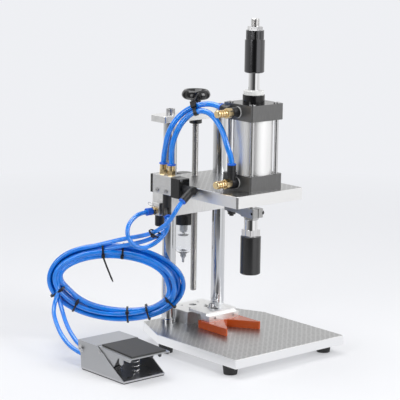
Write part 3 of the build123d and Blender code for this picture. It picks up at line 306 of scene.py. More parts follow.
looks = {
    plate_mat: ["base_plate", "crosshead_plate"],
    block_mat: ["bearing_block", "top_bridge", "locator_stand", "slotted_rail", "inlet_block"],
    rubber_mat: ["feet", "pedal_sole"],
    chrome_mat: ["guide_columns", "column_collars"],
    sleeve_mat: ["stop_sleeve", "stop_ring"],
    black_painted_shade_mat: ["crimp_head", "guide_pin"],
    steel_mat: ["frame_screws", "crosshead_screws", "crimp_collet", "pedal_base"],
    zinc_mat: ["tie_rods", "ram_nuts"],
    orange_mat: ["vee_block"],
    brass_mat: ["lead_nut", "push_in_fittings", "lower_flow_control", "upper_flow_control",
                "lower_needle", "upper_needle"],
    cap_mat: ["cylinder_caps"],
    tube_mat: ["cylinder_tube"],
    white_mat: ["bumper_washer", "pedal_plunger"],
    rod_mat: ["piston_rod", "rod_connector"],
    arm_mat: ["torque_arm"],
    thread_mat: ["lead_screw"],
    wheel_mat: ["handwheel"],
    valve_mat: ["valve_body", "valve_spool"],
    cap_black_mat: ["valve_caps", "regulator_body", "regulator_knob", "pedal_valve"],
    drain_mat: ["drain_cock"],
    black_mat: ["pilot_elbow", "supply_tee", "silencer"],
    bowl_mat: ["filter_bowl"],
    pedal_mat: ["pedal_housing", "treadle"],
    pad_mat: ["treadle_pad"],
    spring_mat: ["treadle_spring"],
    hose_mat: ["hose_coil", "upper_cap_hose", "lower_cap_hose", "loop_hose", "pilot_hose_upper",
               "supply_hose_upper", "pilot_hose_lower", "supply_hose_lower"],
}
for material, names in looks.items():
    for name in names:
        mesh = nodes[name].data
        mesh.materials.clear()
        mesh.materials.append(material)
        mesh.shade_smooth()
        mesh.set_sharp_from_angle(angle=math.radians(28))


def paint(name, finishes, choose):
    """More finishes on one node: choose gets a face's middle in millimetres and its normal."""
    mesh = nodes[name].data
    for finish in finishes:
        mesh.materials.append(finish)
    for face in mesh.polygons:
        face.material_index = choose(*(face.center / MM), face.normal)


# Flow controls: black banjo and socket, pale washer, brass stem and nut
cap_face = -37.5
washer_face = cap_face - 1.5
banjo_end = washer_face - 14.0
nut_r = 8.9
edge = 0.05           # allowance where a face's middle is compared with a border
port_heights = {"lower_flow_control": 281.25, "upper_flow_control": 405.75}


def control_finish(port_z):
    """Gives 0 for brass, 1 for black and 2 for the pale washer."""
    def choose(x, y, z, normal):
        if washer_face - 2 * edge < x < cap_face + 2 * edge:
            return 2
        on_nut = x < banjo_end - edge and math.hypot(y, z - port_z) < nut_r
        return 0 if x > cap_face or on_nut else 1
    return choose


for name, port_z in port_heights.items():
    paint(name, [black_mat, white_mat], control_finish(port_z))

# Push-in fittings: brass on the valve, blue at the end of the inlet's
inlet_brass_end = -109.05
paint("push_in_fittings", [collar_mat], lambda x, y, z, normal: int(x < inlet_brass_end))

# Pedal housing: bare pivot pins outside, and painted shade on each wall's inner side
pedal_middle, pedal_wall = -254.0, 45.0
# the depth band of each wall's inner face that takes the painted shade
shaded_skin = (2.5, 0.8)


def housing_paint_and_shade(x, y, z, normal):
    """Gives 0 for the paint, 1 for the pins and 2 for the painted shade on the walls' inner side."""
    off = abs(x - pedal_middle)
    if off > pedal_wall + edge:
        return 1
    return 2 if pedal_wall - shaded_skin[0] < off < pedal_wall - shaded_skin[1] else 0


paint("pedal_housing", [zinc_mat, inner_shade_mat], housing_paint_and_shade)

# Pedal valve: a black body, then the fittings' brass and their black collars
pedal_body_end, pedal_brass_end = 83.55, 92.55
paint("pedal_valve", [brass_mat, black_mat],
      lambda x, y, z, normal: int(y >= pedal_body_end) + int(y >= pedal_brass_end))

# Cylinder caps: satin sides, and a black top with its boss on the upper one
rod_end = 1.6
cap_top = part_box("tie_rods")[1][2] / MM - rod_end
upper_cap_z, facing_up = 380, 0.9
paint("cylinder_caps", [wheel_mat],
      lambda x, y, z, normal: int(z > upper_cap_z and (normal.z > facing_up or z > cap_top)))


# Mesh helpers
turned_count = 40


def piece(name, mesh, material, angle=32):
    obj = bpy.data.objects.new(name, mesh)
    bpy.context.scene.collection.objects.link(obj)
    mesh.materials.append(material)
    mesh.shade_smooth()
    mesh.set_sharp_from_angle(angle=math.radians(angle))
    return obj


def grid_mesh(name, rings, closed=True):
    """A skin over rings of points that all have the same count; closed ends are flat."""
    mesh = bpy.data.meshes.new(name)
    count = len(rings[0])
    points = [tuple(p) for ring in rings for p in ring]
    faces = []
    for i in range(len(rings) - 1):
        for j in range(count):
            k = (j + 1) % count
            faces.append((i * count + j, i * count + k, (i + 1) * count + k, (i + 1) * count + j))
    if closed:
        faces.append(tuple(range(count))[::-1])
        faces.append(tuple((len(rings) - 1) * count + j for j in range(count)))
    mesh.from_pydata(points, [], faces)
    mesh.update()
    return mesh


def frame_at(direction):
    """Two directions square to a given one."""
    z = Vector(direction).normalized()
    x = z.orthogonal().normalized()
    return x, z.cross(x), z


def circle(centre, x, y, radius, count):
    turns = (2 * math.pi * i / count for i in range(count))
    return [centre + (x * math.cos(t) + y * math.sin(t)) * radius for t in turns]


def turned_rings(profile, start, towards):
    """Circles round an axis: profile holds (distance along, radius) in millimetres."""
    x, y, z = frame_at(towards)
    start = Vector(start)
    return [circle(start + z * along * MM, x, y, radius * MM, turned_count) for along, radius in profile]


def lathe(name, profile, start, towards, material, body):
    """A solid turned piece."""
    mesh = grid_mesh(name, turned_rings(profile, start, towards))
    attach(piece(name, mesh, material), body)


def ring(name, inner, outer, low, high, start, towards, material, body, bevel):
    """A turned ring with rounded edges, open through its middle."""
    profile = [(low, inner), (low, outer - bevel), (low + bevel, outer), (high - bevel, outer),
               (high, outer - bevel), (high, inner), (low, inner)]
    mesh = grid_mesh(name, turned_rings(profile, start, towards), closed=False)
    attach(piece(name, mesh, material), body)


def tube_mesh(name, path, radius, count=16):
    """A round tube along a smooth path, with frames carried along it."""
    tangents = []
    for i in range(len(path)):
        before, after = path[max(0, i - 1)], path[min(len(path) - 1, i + 1)]
        tangents.append((after - before).normalized())
    x, y, _ = frame_at(tangents[0])
    rings = []
    for point, tangent in zip(path, tangents):
        x = (x - tangent * x.dot(tangent)).normalized()
        y = tangent.cross(x)
        rings.append(circle(point, x, y, radius, count))
    return grid_mesh(name, rings)


def spline_path(points, resolution):
    """Points read from the smooth line that a route's points control."""
    curve = bpy.data.curves.new("route", "CURVE")
    curve.dimensions = "3D"
    curve.resolution_u = resolution
    spline = curve.splines.new("NURBS")
    spline.points.add(len(points) - 1)
    for target, point in zip(spline.points, points):
        target.co = (*point, 1)
    spline.order_u = 3
    spline.use_endpoint_u = True
    obj = bpy.data.objects.new("route", curve)
    bpy.context.scene.collection.objects.link(obj)
    bpy.context.view_layer.update()
    mesh = bpy.data.meshes.new_from_object(obj)
    path = [v.co.copy() for v in mesh.vertices]
    bpy.data.objects.remove(obj)
    bpy.data.curves.remove(curve)
    bpy.data.meshes.remove(mesh)
    return path


def path_length(path):
    return sum((b - a).length for a, b in zip(path, path[1:]))


# Hoses: the routes repeat the part's points, in millimetres; supply_upper_route is shifted a little
signal_od = 8.0
air_od = 10.0
hose_grip = 5.0       # length inside a fitting
hose_lead = 12.0      # straight length outside it


def entry(mouth, way):
    """The first two points of a route that leaves a fitting."""
    mouth, way = Vector(mouth), Vector(way).normalized()
    return [tuple(mouth - way * hose_grip), tuple(mouth + way * hose_lead)]


def leave(mouth, way):
    """The last two points of a route that ends in a fitting."""
    return entry(mouth, way)[::-1]


valve_ports = [(-91, 135, 301), (-91, 113, 301)]
elbow_way = (-0.78, 0, -0.62)
elbow_mouth = (-111.35, 57, 248.32)
inlet_mouth = (-118, 146, 215)
tee_way = (-0.48, -0.72, -0.5)
tee_mouth = (-101.57, 108.15, 209.99)
tee_low = (-91, 124, 209)
upper_way = (0, 1, 0.2)
upper_mouth = (-49, 26.48, 411.05)
lower_mouth = (-49, 0, 313.25)
pedal_mouths = [(-283, 101.5, -14.5), (-265, 101.5, -14.5)]

upper_cap_route = entry(valve_ports[0], (0, 0, 1)) + [
    (-95, 126, 331), (-98, 117, 356), (-92, 107, 380), (-80, 96, 398), (-67, 78, 411),
    (-55, 56, 416)] + leave(upper_mouth, upper_way)
lower_cap_route = entry(valve_ports[1], (0, 0, 1)) + [
    (-94, 109, 338), (-91, 101, 362), (-84, 92, 383), (-72, 77, 401), (-61, 55, 404), (-57, 34, 391),
    (-55, 17, 370), (-57, 5, 348)] + leave(lower_mouth, (0, 0, 1))
loop_route = entry(inlet_mouth, (-1, 0, 0)) + [
    (-148, 144, 211), (-166, 141, 199), (-173, 136, 181), (-165, 130, 164), (-150, 122, 156),
    (-133, 115, 161), (-120, 106, 173), (-112, 98, 188)] + leave(tee_mouth, tee_way)
pilot_upper_route = entry(elbow_mouth, elbow_way) + [
    (-129, 70, 212), (-131, 93, 195), (-130, 119, 182), (-136, 148, 172), (-149, 178, 164),
    (-163, 202, 150)]
supply_upper_route = entry(tee_low, (0, 0, -1)) + [
    (-96, 123, 186), (-107, 118, 177), (-122, 120, 174), (-132, 141, 163), (-146, 172, 153),
    (-158, 191, 142)]
pilot_lower_route = [
    (-236, 262, 48), (-250, 252, 36), (-269, 219, 22), (-285, 178, 6), (-287, 147, -8)] + leave(
    pedal_mouths[0], (0, 1, 0))
supply_lower_route = [
    (-226, 252, 44), (-238, 240, 32), (-256, 204, 18), (-268, 169, 5), (-269, 144, -8)] + leave(
    pedal_mouths[1], (0, 1, 0))

# The coil's own plane, as the part has it: it leans on the left column
heading = math.radians(-41.2)
coil_way = Vector((math.cos(heading), math.sin(heading), 0))
coil_face = Vector((math.sin(heading), -math.cos(heading), 0))
left_column = Vector((-60, 154, 0))
column_r, bundle_r, coil_gap = 12.5, 14, 0.5
coil_shift, coil_z = -94.8, 79.8
coil_seat = left_column + coil_face * (column_r + bundle_r + coil_gap)
coil_centre = coil_seat + coil_way * coil_shift + Vector((0, 0, coil_z))
coil_turn = math.radians(-4.0)
coil_a, coil_b = 113.5, 59.5
turn_points = 20
fan_places = ((8, 26), (208, 22), (135, 20))     # where loose turns spread: the middle angle and the width
swap_lead, swap_from, swap_share = 0.22, 0.55, 0.4


def bell(angle, middle, width):
    """A smooth hill of height 1 round an angle."""
    gap = (angle - middle + 180) % 360 - 180
    return math.exp(-(gap / width) ** 2)


def coil_point(angle, out, thick, loose):
    """A point of a turn: out and thick place it in the bundle, loose lets it fan between ties."""
    fan = sum(amount * bell(angle, *place) for amount, place in zip(loose, fan_places))
    t = math.radians(angle)
    along = (coil_a + out + fan) * math.cos(t)
    high = (coil_b + out + fan) * math.sin(t)
    flat = coil_way * (along * math.cos(coil_turn) - high * math.sin(coil_turn))
    rise = Vector((0, 0, along * math.sin(coil_turn) + high * math.cos(coil_turn)))
    return coil_centre + flat + rise + coil_face * thick


def coil_points(start, stop, slots, looseness):
    """The turns of one hose, which changes its place in the bundle along the lower right."""
    points = []
    count = int((stop - start) / 360 * turn_points)
    for i in range(count + 1):
        angle = start + (stop - start) * i / count
        turns = (angle - start) / 360 + swap_lead
        here = min(int(turns), len(slots) - 1)
        after = min(here + 1, len(slots) - 1)
        blend = max(0, min(1, (turns - int(turns) - swap_from) / swap_share))
        blend = blend * blend * (3 - 2 * blend)
        out = slots[here][0] * (1 - blend) + slots[after][0] * blend
        thick = slots[here][1] * (1 - blend) + slots[after][1] * blend
        loose = [p * (1 - blend) + q * blend for p, q in zip(looseness[here], looseness[after])]
        points.append(tuple(coil_point(angle, out, thick, loose)))
    return points


# For each turn: its place in the bundle (out, thick), and how far it fans at the three places
pilot_slots = [(9.2, 4.6), (9.2, -4.6), (0, 9.2), (-9.2, 4.6), (-4, 6)]
supply_slots = [(0, 0), (-9.2, -4.6), (0, -9.2), (8.3, -8.8), (2, -9)]
pilot_loose = [(1, 1, 4), (2, 0, 0), (-7, -3, 0), (-9, -9, -1), (-2, -4, 0)]
supply_loose = [(-3, -2, 0), (-9, -8, 0), (-6, -5, 0), (3, 1, 2), (0, 0, 0)]

pilot_start, supply_start = 112, 114
coil_end = 198 + 4 * 360
pilot_coil = coil_points(pilot_start, coil_end, pilot_slots, pilot_loose)
supply_coil = coil_points(supply_start, coil_end, supply_slots, supply_loose)
pilot_route = pilot_upper_route[:-1] + pilot_coil + pilot_lower_route[1:]
supply_route = supply_upper_route[:-1] + supply_coil + supply_lower_route[1:]


def metres(route):
    return [Vector(p) * MM for p in route]


def coiled_hose(name, route, stands_for):
    """A hose from the crosshead to the pedal."""
    path = spline_path(metres(route), 5)
    obj = piece(name, tube_mesh(name, path, signal_od / 2 * MM), hose_mat, angle=60)
    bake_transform(obj)
    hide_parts(*stands_for)
    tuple(path[0])
    path_length(path)
    return path


def short_hose(name, route, diameter, node):
    """A hose between two fittings on the crosshead."""
    path = spline_path(metres(route), 8)
    obj = piece(name, tube_mesh(name, path, diameter / 2), hose_mat, angle=60)
    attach(obj, "crosshead")
    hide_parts(node)
    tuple(path[0])
    path_length(path)
    return path


pilot_path = coiled_hose("pilot_hose", pilot_route,
                         ["pilot_hose_upper", "pilot_hose_lower", "hose_coil"])
supply_path = coiled_hose("supply_hose", supply_route,
                          ["supply_hose_upper", "supply_hose_lower"])
upper_path = short_hose("upper_cap_tube", upper_cap_route, air_od * MM, "upper_cap_hose")
lower_path = short_hose("lower_cap_tube", lower_cap_route, air_od * MM, "lower_cap_hose")
short_hose("loop_tube", loop_route, signal_od * MM, "loop_hose")


# Black ties: a strap, its locking head and, on some, a loose tail
strap_t = 1.1
strap_half_w = 1.7
squareness = 0.75     # below 1 the strap's loop is squarer than an ellipse


def tie(name, angle, out=13.6, tail=0.0):
    """A tie round the whole bundle at one angle of the coil."""
    thick = 13.6
    centre = coil_point(angle, 0.0, 0, (0, 0, 0))
    ahead = coil_point(angle + 3, 0.0, 0, (0, 0, 0))
    along = (ahead - centre).normalized()
    radial = along.cross(coil_face).normalized()
    for part in band_tie(name, centre * MM, radial, coil_face, along, out, thick, tail):
        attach(part, "frame")


def band_tie(name, centre, radial, face, along, out, thick, tail, lean=-0.32, wide=strap_half_w):
    """The pieces of one tie; out and thick are its loop's half sizes in millimetres."""
    parts = [tie_strap(name, centre, radial, face, along, out, thick, wide),
             tie_head(name + "_head", centre, radial, face, along, out, thick, wide)]
    if tail:
        parts.append(tie_tail(name + "_tail", centre, radial, face, along, out, thick, tail, lean))
    return parts


def tie_strap(name, centre, radial, face, along, out, thick, wide):
    rings = []
    count = 28
    for width, lift in ((-wide, 0), (-wide, strap_t), (wide, strap_t), (wide, 0), (-wide, 0)):
        loop = []
        for i in range(count):
            t = 2 * math.pi * i / count
            c, s = math.cos(t), math.sin(t)
            c = math.copysign(abs(c) ** squareness, c)
            s = math.copysign(abs(s) ** squareness, s)
            loop.append(centre + (radial * c * (out + lift) + face * s * (thick + lift)
                                  + along * width) * MM)
        rings.append(loop)
    return piece(name, grid_mesh(name, rings, closed=False), black_mat)


def tie_head(name, centre, radial, face, along, out, thick, wide):
    """The block that locks the strap, with its edges rounded."""
    long, broad, high = 3 * wide, 2.7 * wide, 4.2
    mesh = bpy.data.meshes.new(name)
    bm = bmesh.new()
    bmesh.ops.create_cube(bm, size=1)
    for v in bm.verts:
        outward = face * (thick + 2.2 + v.co.z * high)
        round_loop = radial * (out * 0.55 + v.co.x * long)
        v.co = (centre / MM + outward - round_loop + along * v.co.y * broad) * MM
    bmesh.ops.bevel(bm, geom=bm.edges[:], offset=0.0007, segments=2, affect="EDGES")
    bm.to_mesh(mesh)
    bm.free()
    return piece(name, mesh, black_mat)


def tie_tail(name, centre, radial, face, along, out, thick, length, lean):
    """A strip that bows out from the head and narrows at its tip."""
    start = centre + face * (thick + 1.5) * MM - radial * (out * 0.7) * MM
    end = start - radial * length * MM + along * length * lean * MM + face * 3 * MM
    steps, bow, half_w, tip_half_w, half_t = 10, 2.5, 1.6, 0.7, 0.5
    mesh = bpy.data.meshes.new(name)
    bm = bmesh.new()
    for i in range(steps + 1):
        share = i / steps
        point = start.lerp(end, share) + face * math.sin(share * math.pi) * bow * MM
        width = half_w if i < steps else tip_half_w
        for side in (-1, 1):
            for lift in (-half_t, half_t):
                bm.verts.new(point + (along * side * width + face * lift) * MM)
    bm.verts.ensure_lookup_table()
    for i in range(steps):
        near, far = 4 * i, 4 * i + 4
        for p, q in ((0, 1), (1, 3), (3, 2), (2, 0)):
            bm.faces.new([bm.verts[k] for k in (near + p, near + q, far + q, far + p)])
    bm.faces.new([bm.verts[k] for k in (0, 2, 3, 1)])
    bm.faces.new([bm.verts[4 * steps + k] for k in (0, 1, 3, 2)])
    bmesh.ops.recalc_face_normals(bm, faces=bm.faces[:])
    bm.to_mesh(mesh)
    bm.free()
    return piece(name, mesh, black_mat)


tie("tie_top", 104, tail=46)
tie("tie_top_right", 86)
tie("tie_left", 204, out=16.0)
tie("tie_low_left", 232)
tie("tie_low_middle", 283)
tie("tie_low_right", 303)
tie("tie_right", 333)


def tie_between(name, first, second, thick, tail=0.0, lean=0.4, wide=strap_half_w):
    """A tie round two hoses that run side by side, with its head on the coil's own side."""
    middle = (first[0] + second[0]) / 2
    along = ((first[1] - first[0]) + (second[1] - second[0])).normalized()
    across = second[0] - first[0]
    radial = (across - along * across.dot(along)).normalized()
    face = along.cross(radial).normalized()
    if face.dot(coil_face) < 0:
        face = -face
    out = across.length / MM / 2 + thick
    return band_tie(name, middle, radial, face, along, out, thick, tail, lean, wide)


def nearest(path, point):
    """The two points of a path where it passes nearest to a place."""
    i = min(range(len(path) - 1), key=lambda k: (path[k] - mm(*point)).length)
    return path[i], path[i + 1]


arch_tie = tie_between("hose_tie", nearest(upper_path, (-68, 80, 408)), nearest(lower_path, (-69, 73, 400)),
                       5.8, tail=16, lean=0.9, wide=3.2)
for part in arch_tie:
    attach(part, "crosshead")
drop_tie = tie_between("drop_tie", nearest(pilot_path, (-130, 108, 188)),
                       nearest(supply_path, (-122, 118, 176)), 4.8)
for part in drop_tie:
    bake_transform(part)

# Blue release collars at the mouths of the fittings
collar_play = 0.3
mouths = [
    ("valve_rear", valve_ports[0], (0, 0, 1), air_od, "crosshead"),
    ("valve_front", valve_ports[1], (0, 0, 1), air_od, "crosshead"),
    ("elbow", elbow_mouth, elbow_way, signal_od, "crosshead"),
    ("inlet", inlet_mouth, (-1, 0, 0), signal_od, "crosshead"),
    ("tee", tee_mouth, tee_way, signal_od, "crosshead"),
    ("tee_low", tee_low, (0, 0, -1), signal_od, "crosshead"),
    ("upper_control", upper_mouth, upper_way, air_od, "crosshead"),
    ("lower_control", lower_mouth, (0, 0, 1), air_od, "crosshead"),
    ("pedal_left", pedal_mouths[0], (0, 1, 0), signal_od, "frame"),
    ("pedal_right", pedal_mouths[1], (0, 1, 0), signal_od, "frame")]
for name, mouth, way, hose_od, body in mouths:
    inner = hose_od / 2 + collar_play
    ring("collar_" + name, inner, inner + 2.6, 0.05, 3.2, mm(*mouth), way, collar_mat, body, 0.9)


# Slotted screws on the valve
def slotted_screw(name, place, towards, d, high, turn):
    """A round head with a slot cut halfway down: a lower disc and two half moons on it."""
    x, y, z = frame_at(towards)
    along = x * math.cos(math.radians(turn)) + y * math.sin(math.radians(turn))
    across = z.cross(along)
    foot = mm(*place)
    r, half_slot = d / 2, d * 0.11
    steps = 12
    disc = (2 * math.pi * i / (2 * steps) for i in range(2 * steps))
    mesh = bpy.data.meshes.new(name)
    bm = bmesh.new()

    def prism(outline, low, top):
        base = [bm.verts.new(foot + (along * a + across * b + z * low) * MM) for a, b in outline]
        lid = [bm.verts.new(foot + (along * a + across * b + z * top) * MM) for a, b in outline]
        bm.faces.new(base[::-1])
        bm.faces.new(lid)
        for i in range(len(outline)):
            k = (i + 1) % len(outline)
            bm.faces.new([base[i], base[k], lid[k], lid[i]])

    prism([(r * math.cos(t), r * math.sin(t)) for t in disc], 0, high / 2)
    first = math.asin(half_slot / r)
    moon = [first + (math.pi - 2 * first) * i / steps for i in range(steps + 1)]
    for way in (1, -1):
        prism([(way * r * math.cos(t), way * r * math.sin(t)) for t in moon], high / 2, high)
    bmesh.ops.recalc_face_normals(bm, faces=bm.faces[:])
    bm.to_mesh(mesh)
    bm.free()
    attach(piece(name, mesh, steel_mat, angle=40), "crosshead")


valve_side = -103.0
valve_nose = 76.0
slotted_screw("valve_screw_rear", (valve_side, 136.7, 255.6), (-1, 0, 0), 7.6, 2.2, 30)
slotted_screw("valve_screw_front", (valve_side, 113.0, 255.5), (-1, 0, 0), 7.6, 2.2, 100)
slotted_screw("nose_screw_top", (-99.5, valve_nose, 279.5), (0, -1, 0), 4.4, 1.2, 20)
slotted_screw("nose_screw_low", (-82.5, valve_nose, 252.5), (0, -1, 0), 4.4, 1.2, 70)


# Foot pedal and small wires
def wire(name, points, radius, material, body):
    """A bent wire along a smooth route."""
    path = spline_path(metres(points), 8)
    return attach(piece(name, tube_mesh(name, path, radius * MM, 10), material, angle=60), body)


def pedal_details():
    """The hooked wire by the spring, a rivet in the wall's edge, black plugs in the base's front holes."""
    pedal_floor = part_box("pedal_base")[1][2] / MM
    hook = [(-290, 46, 0.7), (-290, 30, 1), (-289, 27, 12), (-288, 12, 22), (-287, 4, 20), (-286, 2, 10)]
    wire("pedal_hook", [(x, y, pedal_floor + rise) for x, y, rise in hook], 0.8, black_painted_shade_mat, "frame")
    rivet = [(0, 3.0), (0.8, 3.0), (1.4, 2.0), (1.5, 0.6)]
    lathe("pedal_rivet", rivet, mm(-299, 50.5, 8.5), (-1, 0, 0), steel_mat, "frame")
    plug = [(0, 2.4), (2.6, 2.4), (3.2, 3.6), (3.9, 3.2), (4.0, 1.0)]
    plug_depth, hole_y = 3.2, -1.5
    for i, hole_x in enumerate((-276.0, -232.0)):
        lathe("pedal_plug_" + str(i), plug, mm(hole_x, hole_y, pedal_floor - plug_depth), (0, 0, 1),
              rubber_mat, "frame")


pedal_details()


def treadle_spring():
    """The treadle's spring: a wire helix that fills the part's box."""
    low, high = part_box("treadle_spring")
    low, high = Vector(low), Vector(high)
    middle = (low + high) / 2
    wire_r = 0.9 * MM
    coil_r = (high.x - low.x) / 2 - wire_r
    turns, steps = 5, 24
    rise = high.z - low.z - 2 * wire_r
    path = []
    for i in range(turns * steps + 1):
        t = 2 * math.pi * i / steps
        path.append(Vector((middle.x + coil_r * math.cos(t), middle.y + coil_r * math.sin(t),
                            low.z + wire_r + rise * i / (turns * steps))))
    spring = piece("spring_coil", tube_mesh("spring_coil", path, wire_r, 12), spring_mat, angle=60)
    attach(spring, "frame")
    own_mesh(spring)
    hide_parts("treadle_spring")


treadle_spring()

# A sprung wire clip on the inlet block
wire("inlet_clip", [(-100.6, 133, 223), (-100.6, 146, 224.5), (-100.6, 156, 222), (-101.2, 163, 223.5),
                    (-101.2, 165, 227), (-101.2, 160, 229), (-100.9, 154, 226), (-100.6, 146, 221.5),
                    (-100.6, 134, 220)], 0.65, zinc_mat, "crosshead")

# Inside the clear bowl: the element on its stem, and the baffle under it
bowl_x, bowl_y = 20.0, 207.0
element_z, baffle_z = 151, 143
lathe("filter_element", [(0, 5.0), (1.0, 7.5), (18, 7.5), (21, 9.5), (28, 11.0)],
      mm(bowl_x, bowl_y, element_z), (0, 0, 1), element_mat, "crosshead")
lathe("filter_baffle", [(0, 3.0), (1.0, 10.0), (2.0, 10.0), (4, 3.0), (9, 3.0)],
      mm(bowl_x, bowl_y, baffle_z), (0, 0, 1), element_mat, "crosshead")


# Threads
def threaded(name, x, y, low, high, major, minor, pitch, material, body):
    """A rod with a helical thread; each ring of points follows the wave of the thread round it."""
    count, rows = 36, 8
    angles = [2 * math.pi * j / count for j in range(count)]

    def core_ring(z):
        return [mm(x + minor * math.cos(t), y + minor * math.sin(t), z) for t in angles]

    rings = [core_ring(low)]
    steps = int((high - low) / pitch * rows)
    for i in range(steps + 1):
        z = low + 0.3 + (high - low - 0.6) * i / steps
        loop = []
        for j, t in enumerate(angles):
            phase = (z / pitch - j / count) % 1
            wave = max(0, min(1, 0.5 + 1.6 * (0.5 - abs(phase - 0.5)) * 2 - 0.8))
            fade = min(1, (z - low) / pitch, (high - z) / pitch + 0.2)
            r = minor + (major - minor) * wave * fade
            loop.append(mm(x + r * math.cos(t), y + r * math.sin(t), z))
        rings.append(loop)
    rings.append(core_ring(high))
    obj = piece(name, grid_mesh(name, rings), material, angle=50)
    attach(obj, body)
    return obj


# Lead screw: its thread, the collar under the bridge and the journal that the handwheel sits on
screw_y, screw_low, screw_top = 154, 52, 373.7
screw_r, collar_h = 6.0, 9.0
screw = threaded("screw_thread", 0, screw_y, screw_low, screw_top, screw_r, 4.9, 3.0, thread_mat, "screw")
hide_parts("lead_screw")
ring("screw_collar", screw_r + 0.05, 11.5, screw_top - collar_h, screw_top, mm(0, screw_y, 0), (0, 0, 1),
     black_painted_shade_mat, "screw", 0.8)
lathe("screw_journal", [(373, 5.0), (400.2, 5.0), (400.3, 4.4)], mm(0, screw_y, 0), (0, 0, 1), thread_mat,
      "screw")
threaded("stud_thread", 0, 0, 553.2, 566.4, 7.3, 6.9, 1.5, thread_mat, "ram")


# Stage and light
paper_white = (0.86, 0.87, 0.90)
# What polished metal mirrors: the direction in degrees round the machine, and the brightness there
room_tones = ((-180, 0.25), (-150, 0.07), (-131, 0.04), (-114, 0.10), (-103, 1.0), (-70, 1.0),
              (-58, 0.80), (-50, 0.72), (-40, 0.80), (-16, 0.95), (90, 0.85), (134, 0.60),
              (165, 0.40), (180, 0.25))


def room_tone(tree, direction):
    """The room's brightness towards a direction: bright in front, dark at the front left."""
    parts = add(tree, "ShaderNodeSeparateXYZ")
    tree.links.new(direction, parts.inputs["Vector"])
    angle = combine(tree, "ARCTAN2", parts.outputs["Y"], parts.outputs["X"])
    share = map_range(tree, angle, -math.pi, math.pi)
    ramp = add(tree, "ShaderNodeValToRGB")
    stops = ramp.color_ramp.elements
    for i, (degrees, tone) in enumerate(room_tones):
        place = (degrees + 180) / 360
        stop = stops[i] if i < 2 else stops.new(place)
        stop.position = place
        stop.color = (tone, tone, tone, 1)
    tree.links.new(share, ramp.inputs["Fac"])
    return ramp.outputs["Color"]


def pale_paper():
    """White paper: an even white far out, with the object's shadow near it, mirrored as a lit room."""
    material, tree, bsdf = shader("pale_paper", (0.80, 0.80, 0.81), 0.0, 0.6)
    rays = add(tree, "ShaderNodeLightPath")
    where = add(tree, "ShaderNodeTexCoord")
    reach = add(tree, "ShaderNodeVectorMath", operation="LENGTH")
    tree.links.new(where.outputs["Object"], reach.inputs[0])
    away = reach.outputs["Value"]
    far = map_range(tree, away, 0.45, 1.9, 0.25, 1.0)
    seen = combine(tree, "MULTIPLY", rays.outputs["Is Camera Ray"], far)
    mirrored = combine(tree, "MAXIMUM", rays.outputs["Is Glossy Ray"], rays.outputs["Is Transmission Ray"])
    share = combine(tree, "MAXIMUM", seen, mirrored)
    in_room = combine(tree, "MULTIPLY", rays.outputs["Is Glossy Ray"], map_range(tree, away, 0.35, 0.9))
    tint = mix_colours(tree, in_room, paper_white, room_tone(tree, where.outputs["Object"]))
    glow = add(tree, "ShaderNodeEmission", Strength=1.0)
    tree.links.new(tint, glow.inputs["Color"])
    mix = add(tree, "ShaderNodeMixShader")
    tree.links.new(share, mix.inputs["Fac"])
    tree.links.new(bsdf.outputs["BSDF"], mix.inputs[1])
    tree.links.new(glow.outputs["Emission"], mix.inputs[2])
    tree.links.new(mix.outputs["Shader"], tree.nodes["Material Output"].inputs["Surface"])
    return material


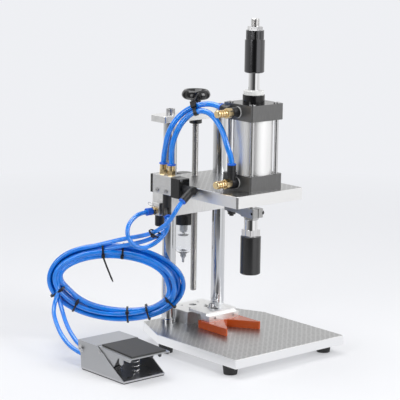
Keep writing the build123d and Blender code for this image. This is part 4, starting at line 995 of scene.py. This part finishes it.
def stage():
    """A floor that curves up into a wall, far behind the machine."""
    floor_z, floor_front, half_w = -0.034, 6.0, 6
    wall_start, bend_r, wall_top, steps = -4.6, 2.0, 6.0, 31
    mesh = bpy.data.meshes.new("floor")
    bm = bmesh.new()
    back = Vector((math.sin(azimuth), -math.cos(azimuth), 0))
    side = Vector((math.cos(azimuth), math.sin(azimuth), 0))
    rows = [(floor_front, 0), (wall_start, 0)]
    for i in range(1, steps + 1):
        t = i / steps * math.pi / 2
        rows.append((wall_start - bend_r * math.sin(t), bend_r * (1 - math.cos(t))))
    rows.append((wall_start - bend_r, wall_top))
    verts = []
    for offset, height in rows:
        middle = back * offset + Vector((0, 0, floor_z + height))
        verts.append([bm.verts.new(middle + side * reach) for reach in (-half_w, half_w)])
    for a, b in zip(verts, verts[1:]):
        bm.faces.new([a[0], a[1], b[1], b[0]])
    bmesh.ops.recalc_face_normals(bm, faces=bm.faces[:])
    bm.to_mesh(mesh)
    bm.free()
    obj = piece("floor", mesh, pale_paper())


stage()


def lamp(name, place, size, power):
    """A soft box that looks at the machine."""
    target = (0, 0, 0.2)
    data = bpy.data.lights.new(name, "AREA")
    data.shape = "RECTANGLE"
    data.size, data.size_y = size
    data.energy = power
    obj = bpy.data.objects.new(name, data)
    obj.location = place
    obj.rotation_euler = (Vector(target) - Vector(place)).to_track_quat("-Z", "Y").to_euler()
    bpy.context.scene.collection.objects.link(obj)


lamp("key", (0.9, -1.9, 1.5), (1.1, 1.4), 34)
lamp("left", (-2.2, -0.3, 1.1), (0.8, 1.6), 14)
lamp("top", (-0.3, 0.6, 2.4), (1.6, 1.6), 30)


def studio():
    """Soft light from all round, the room that metal mirrors, and white where the camera looks past."""
    world = bpy.data.worlds.new("world")
    bpy.context.scene.world = world
    world.use_nodes = True
    tree = world.node_tree
    soft = tree.nodes["Background"]
    soft.inputs["Color"].default_value = (0.88, 0.90, 0.94, 1)
    soft.inputs["Strength"].default_value = 0.55
    rays = add(tree, "ShaderNodeLightPath")
    where = add(tree, "ShaderNodeTexCoord")
    room = add(tree, "ShaderNodeBackground", Strength=1.0)
    tree.links.new(room_tone(tree, where.outputs["Generated"]), room.inputs["Color"])
    mix = add(tree, "ShaderNodeMixShader")
    tree.links.new(rays.outputs["Is Glossy Ray"], mix.inputs["Fac"])
    tree.links.new(soft.outputs["Background"], mix.inputs[1])
    tree.links.new(room.outputs["Background"], mix.inputs[2])
    seen = add(tree, "ShaderNodeBackground", Strength=1.0)
    seen.inputs["Color"].default_value = (*paper_white, 1)
    shown = add(tree, "ShaderNodeMixShader")
    tree.links.new(rays.outputs["Is Camera Ray"], shown.inputs["Fac"])
    tree.links.new(mix.outputs["Shader"], shown.inputs[1])
    tree.links.new(seen.outputs["Background"], shown.inputs[2])
    tree.links.new(shown.outputs["Shader"], tree.nodes["World Output"].inputs["Surface"])


studio()

bpy.context.scene.view_settings.view_transform = "Standard"
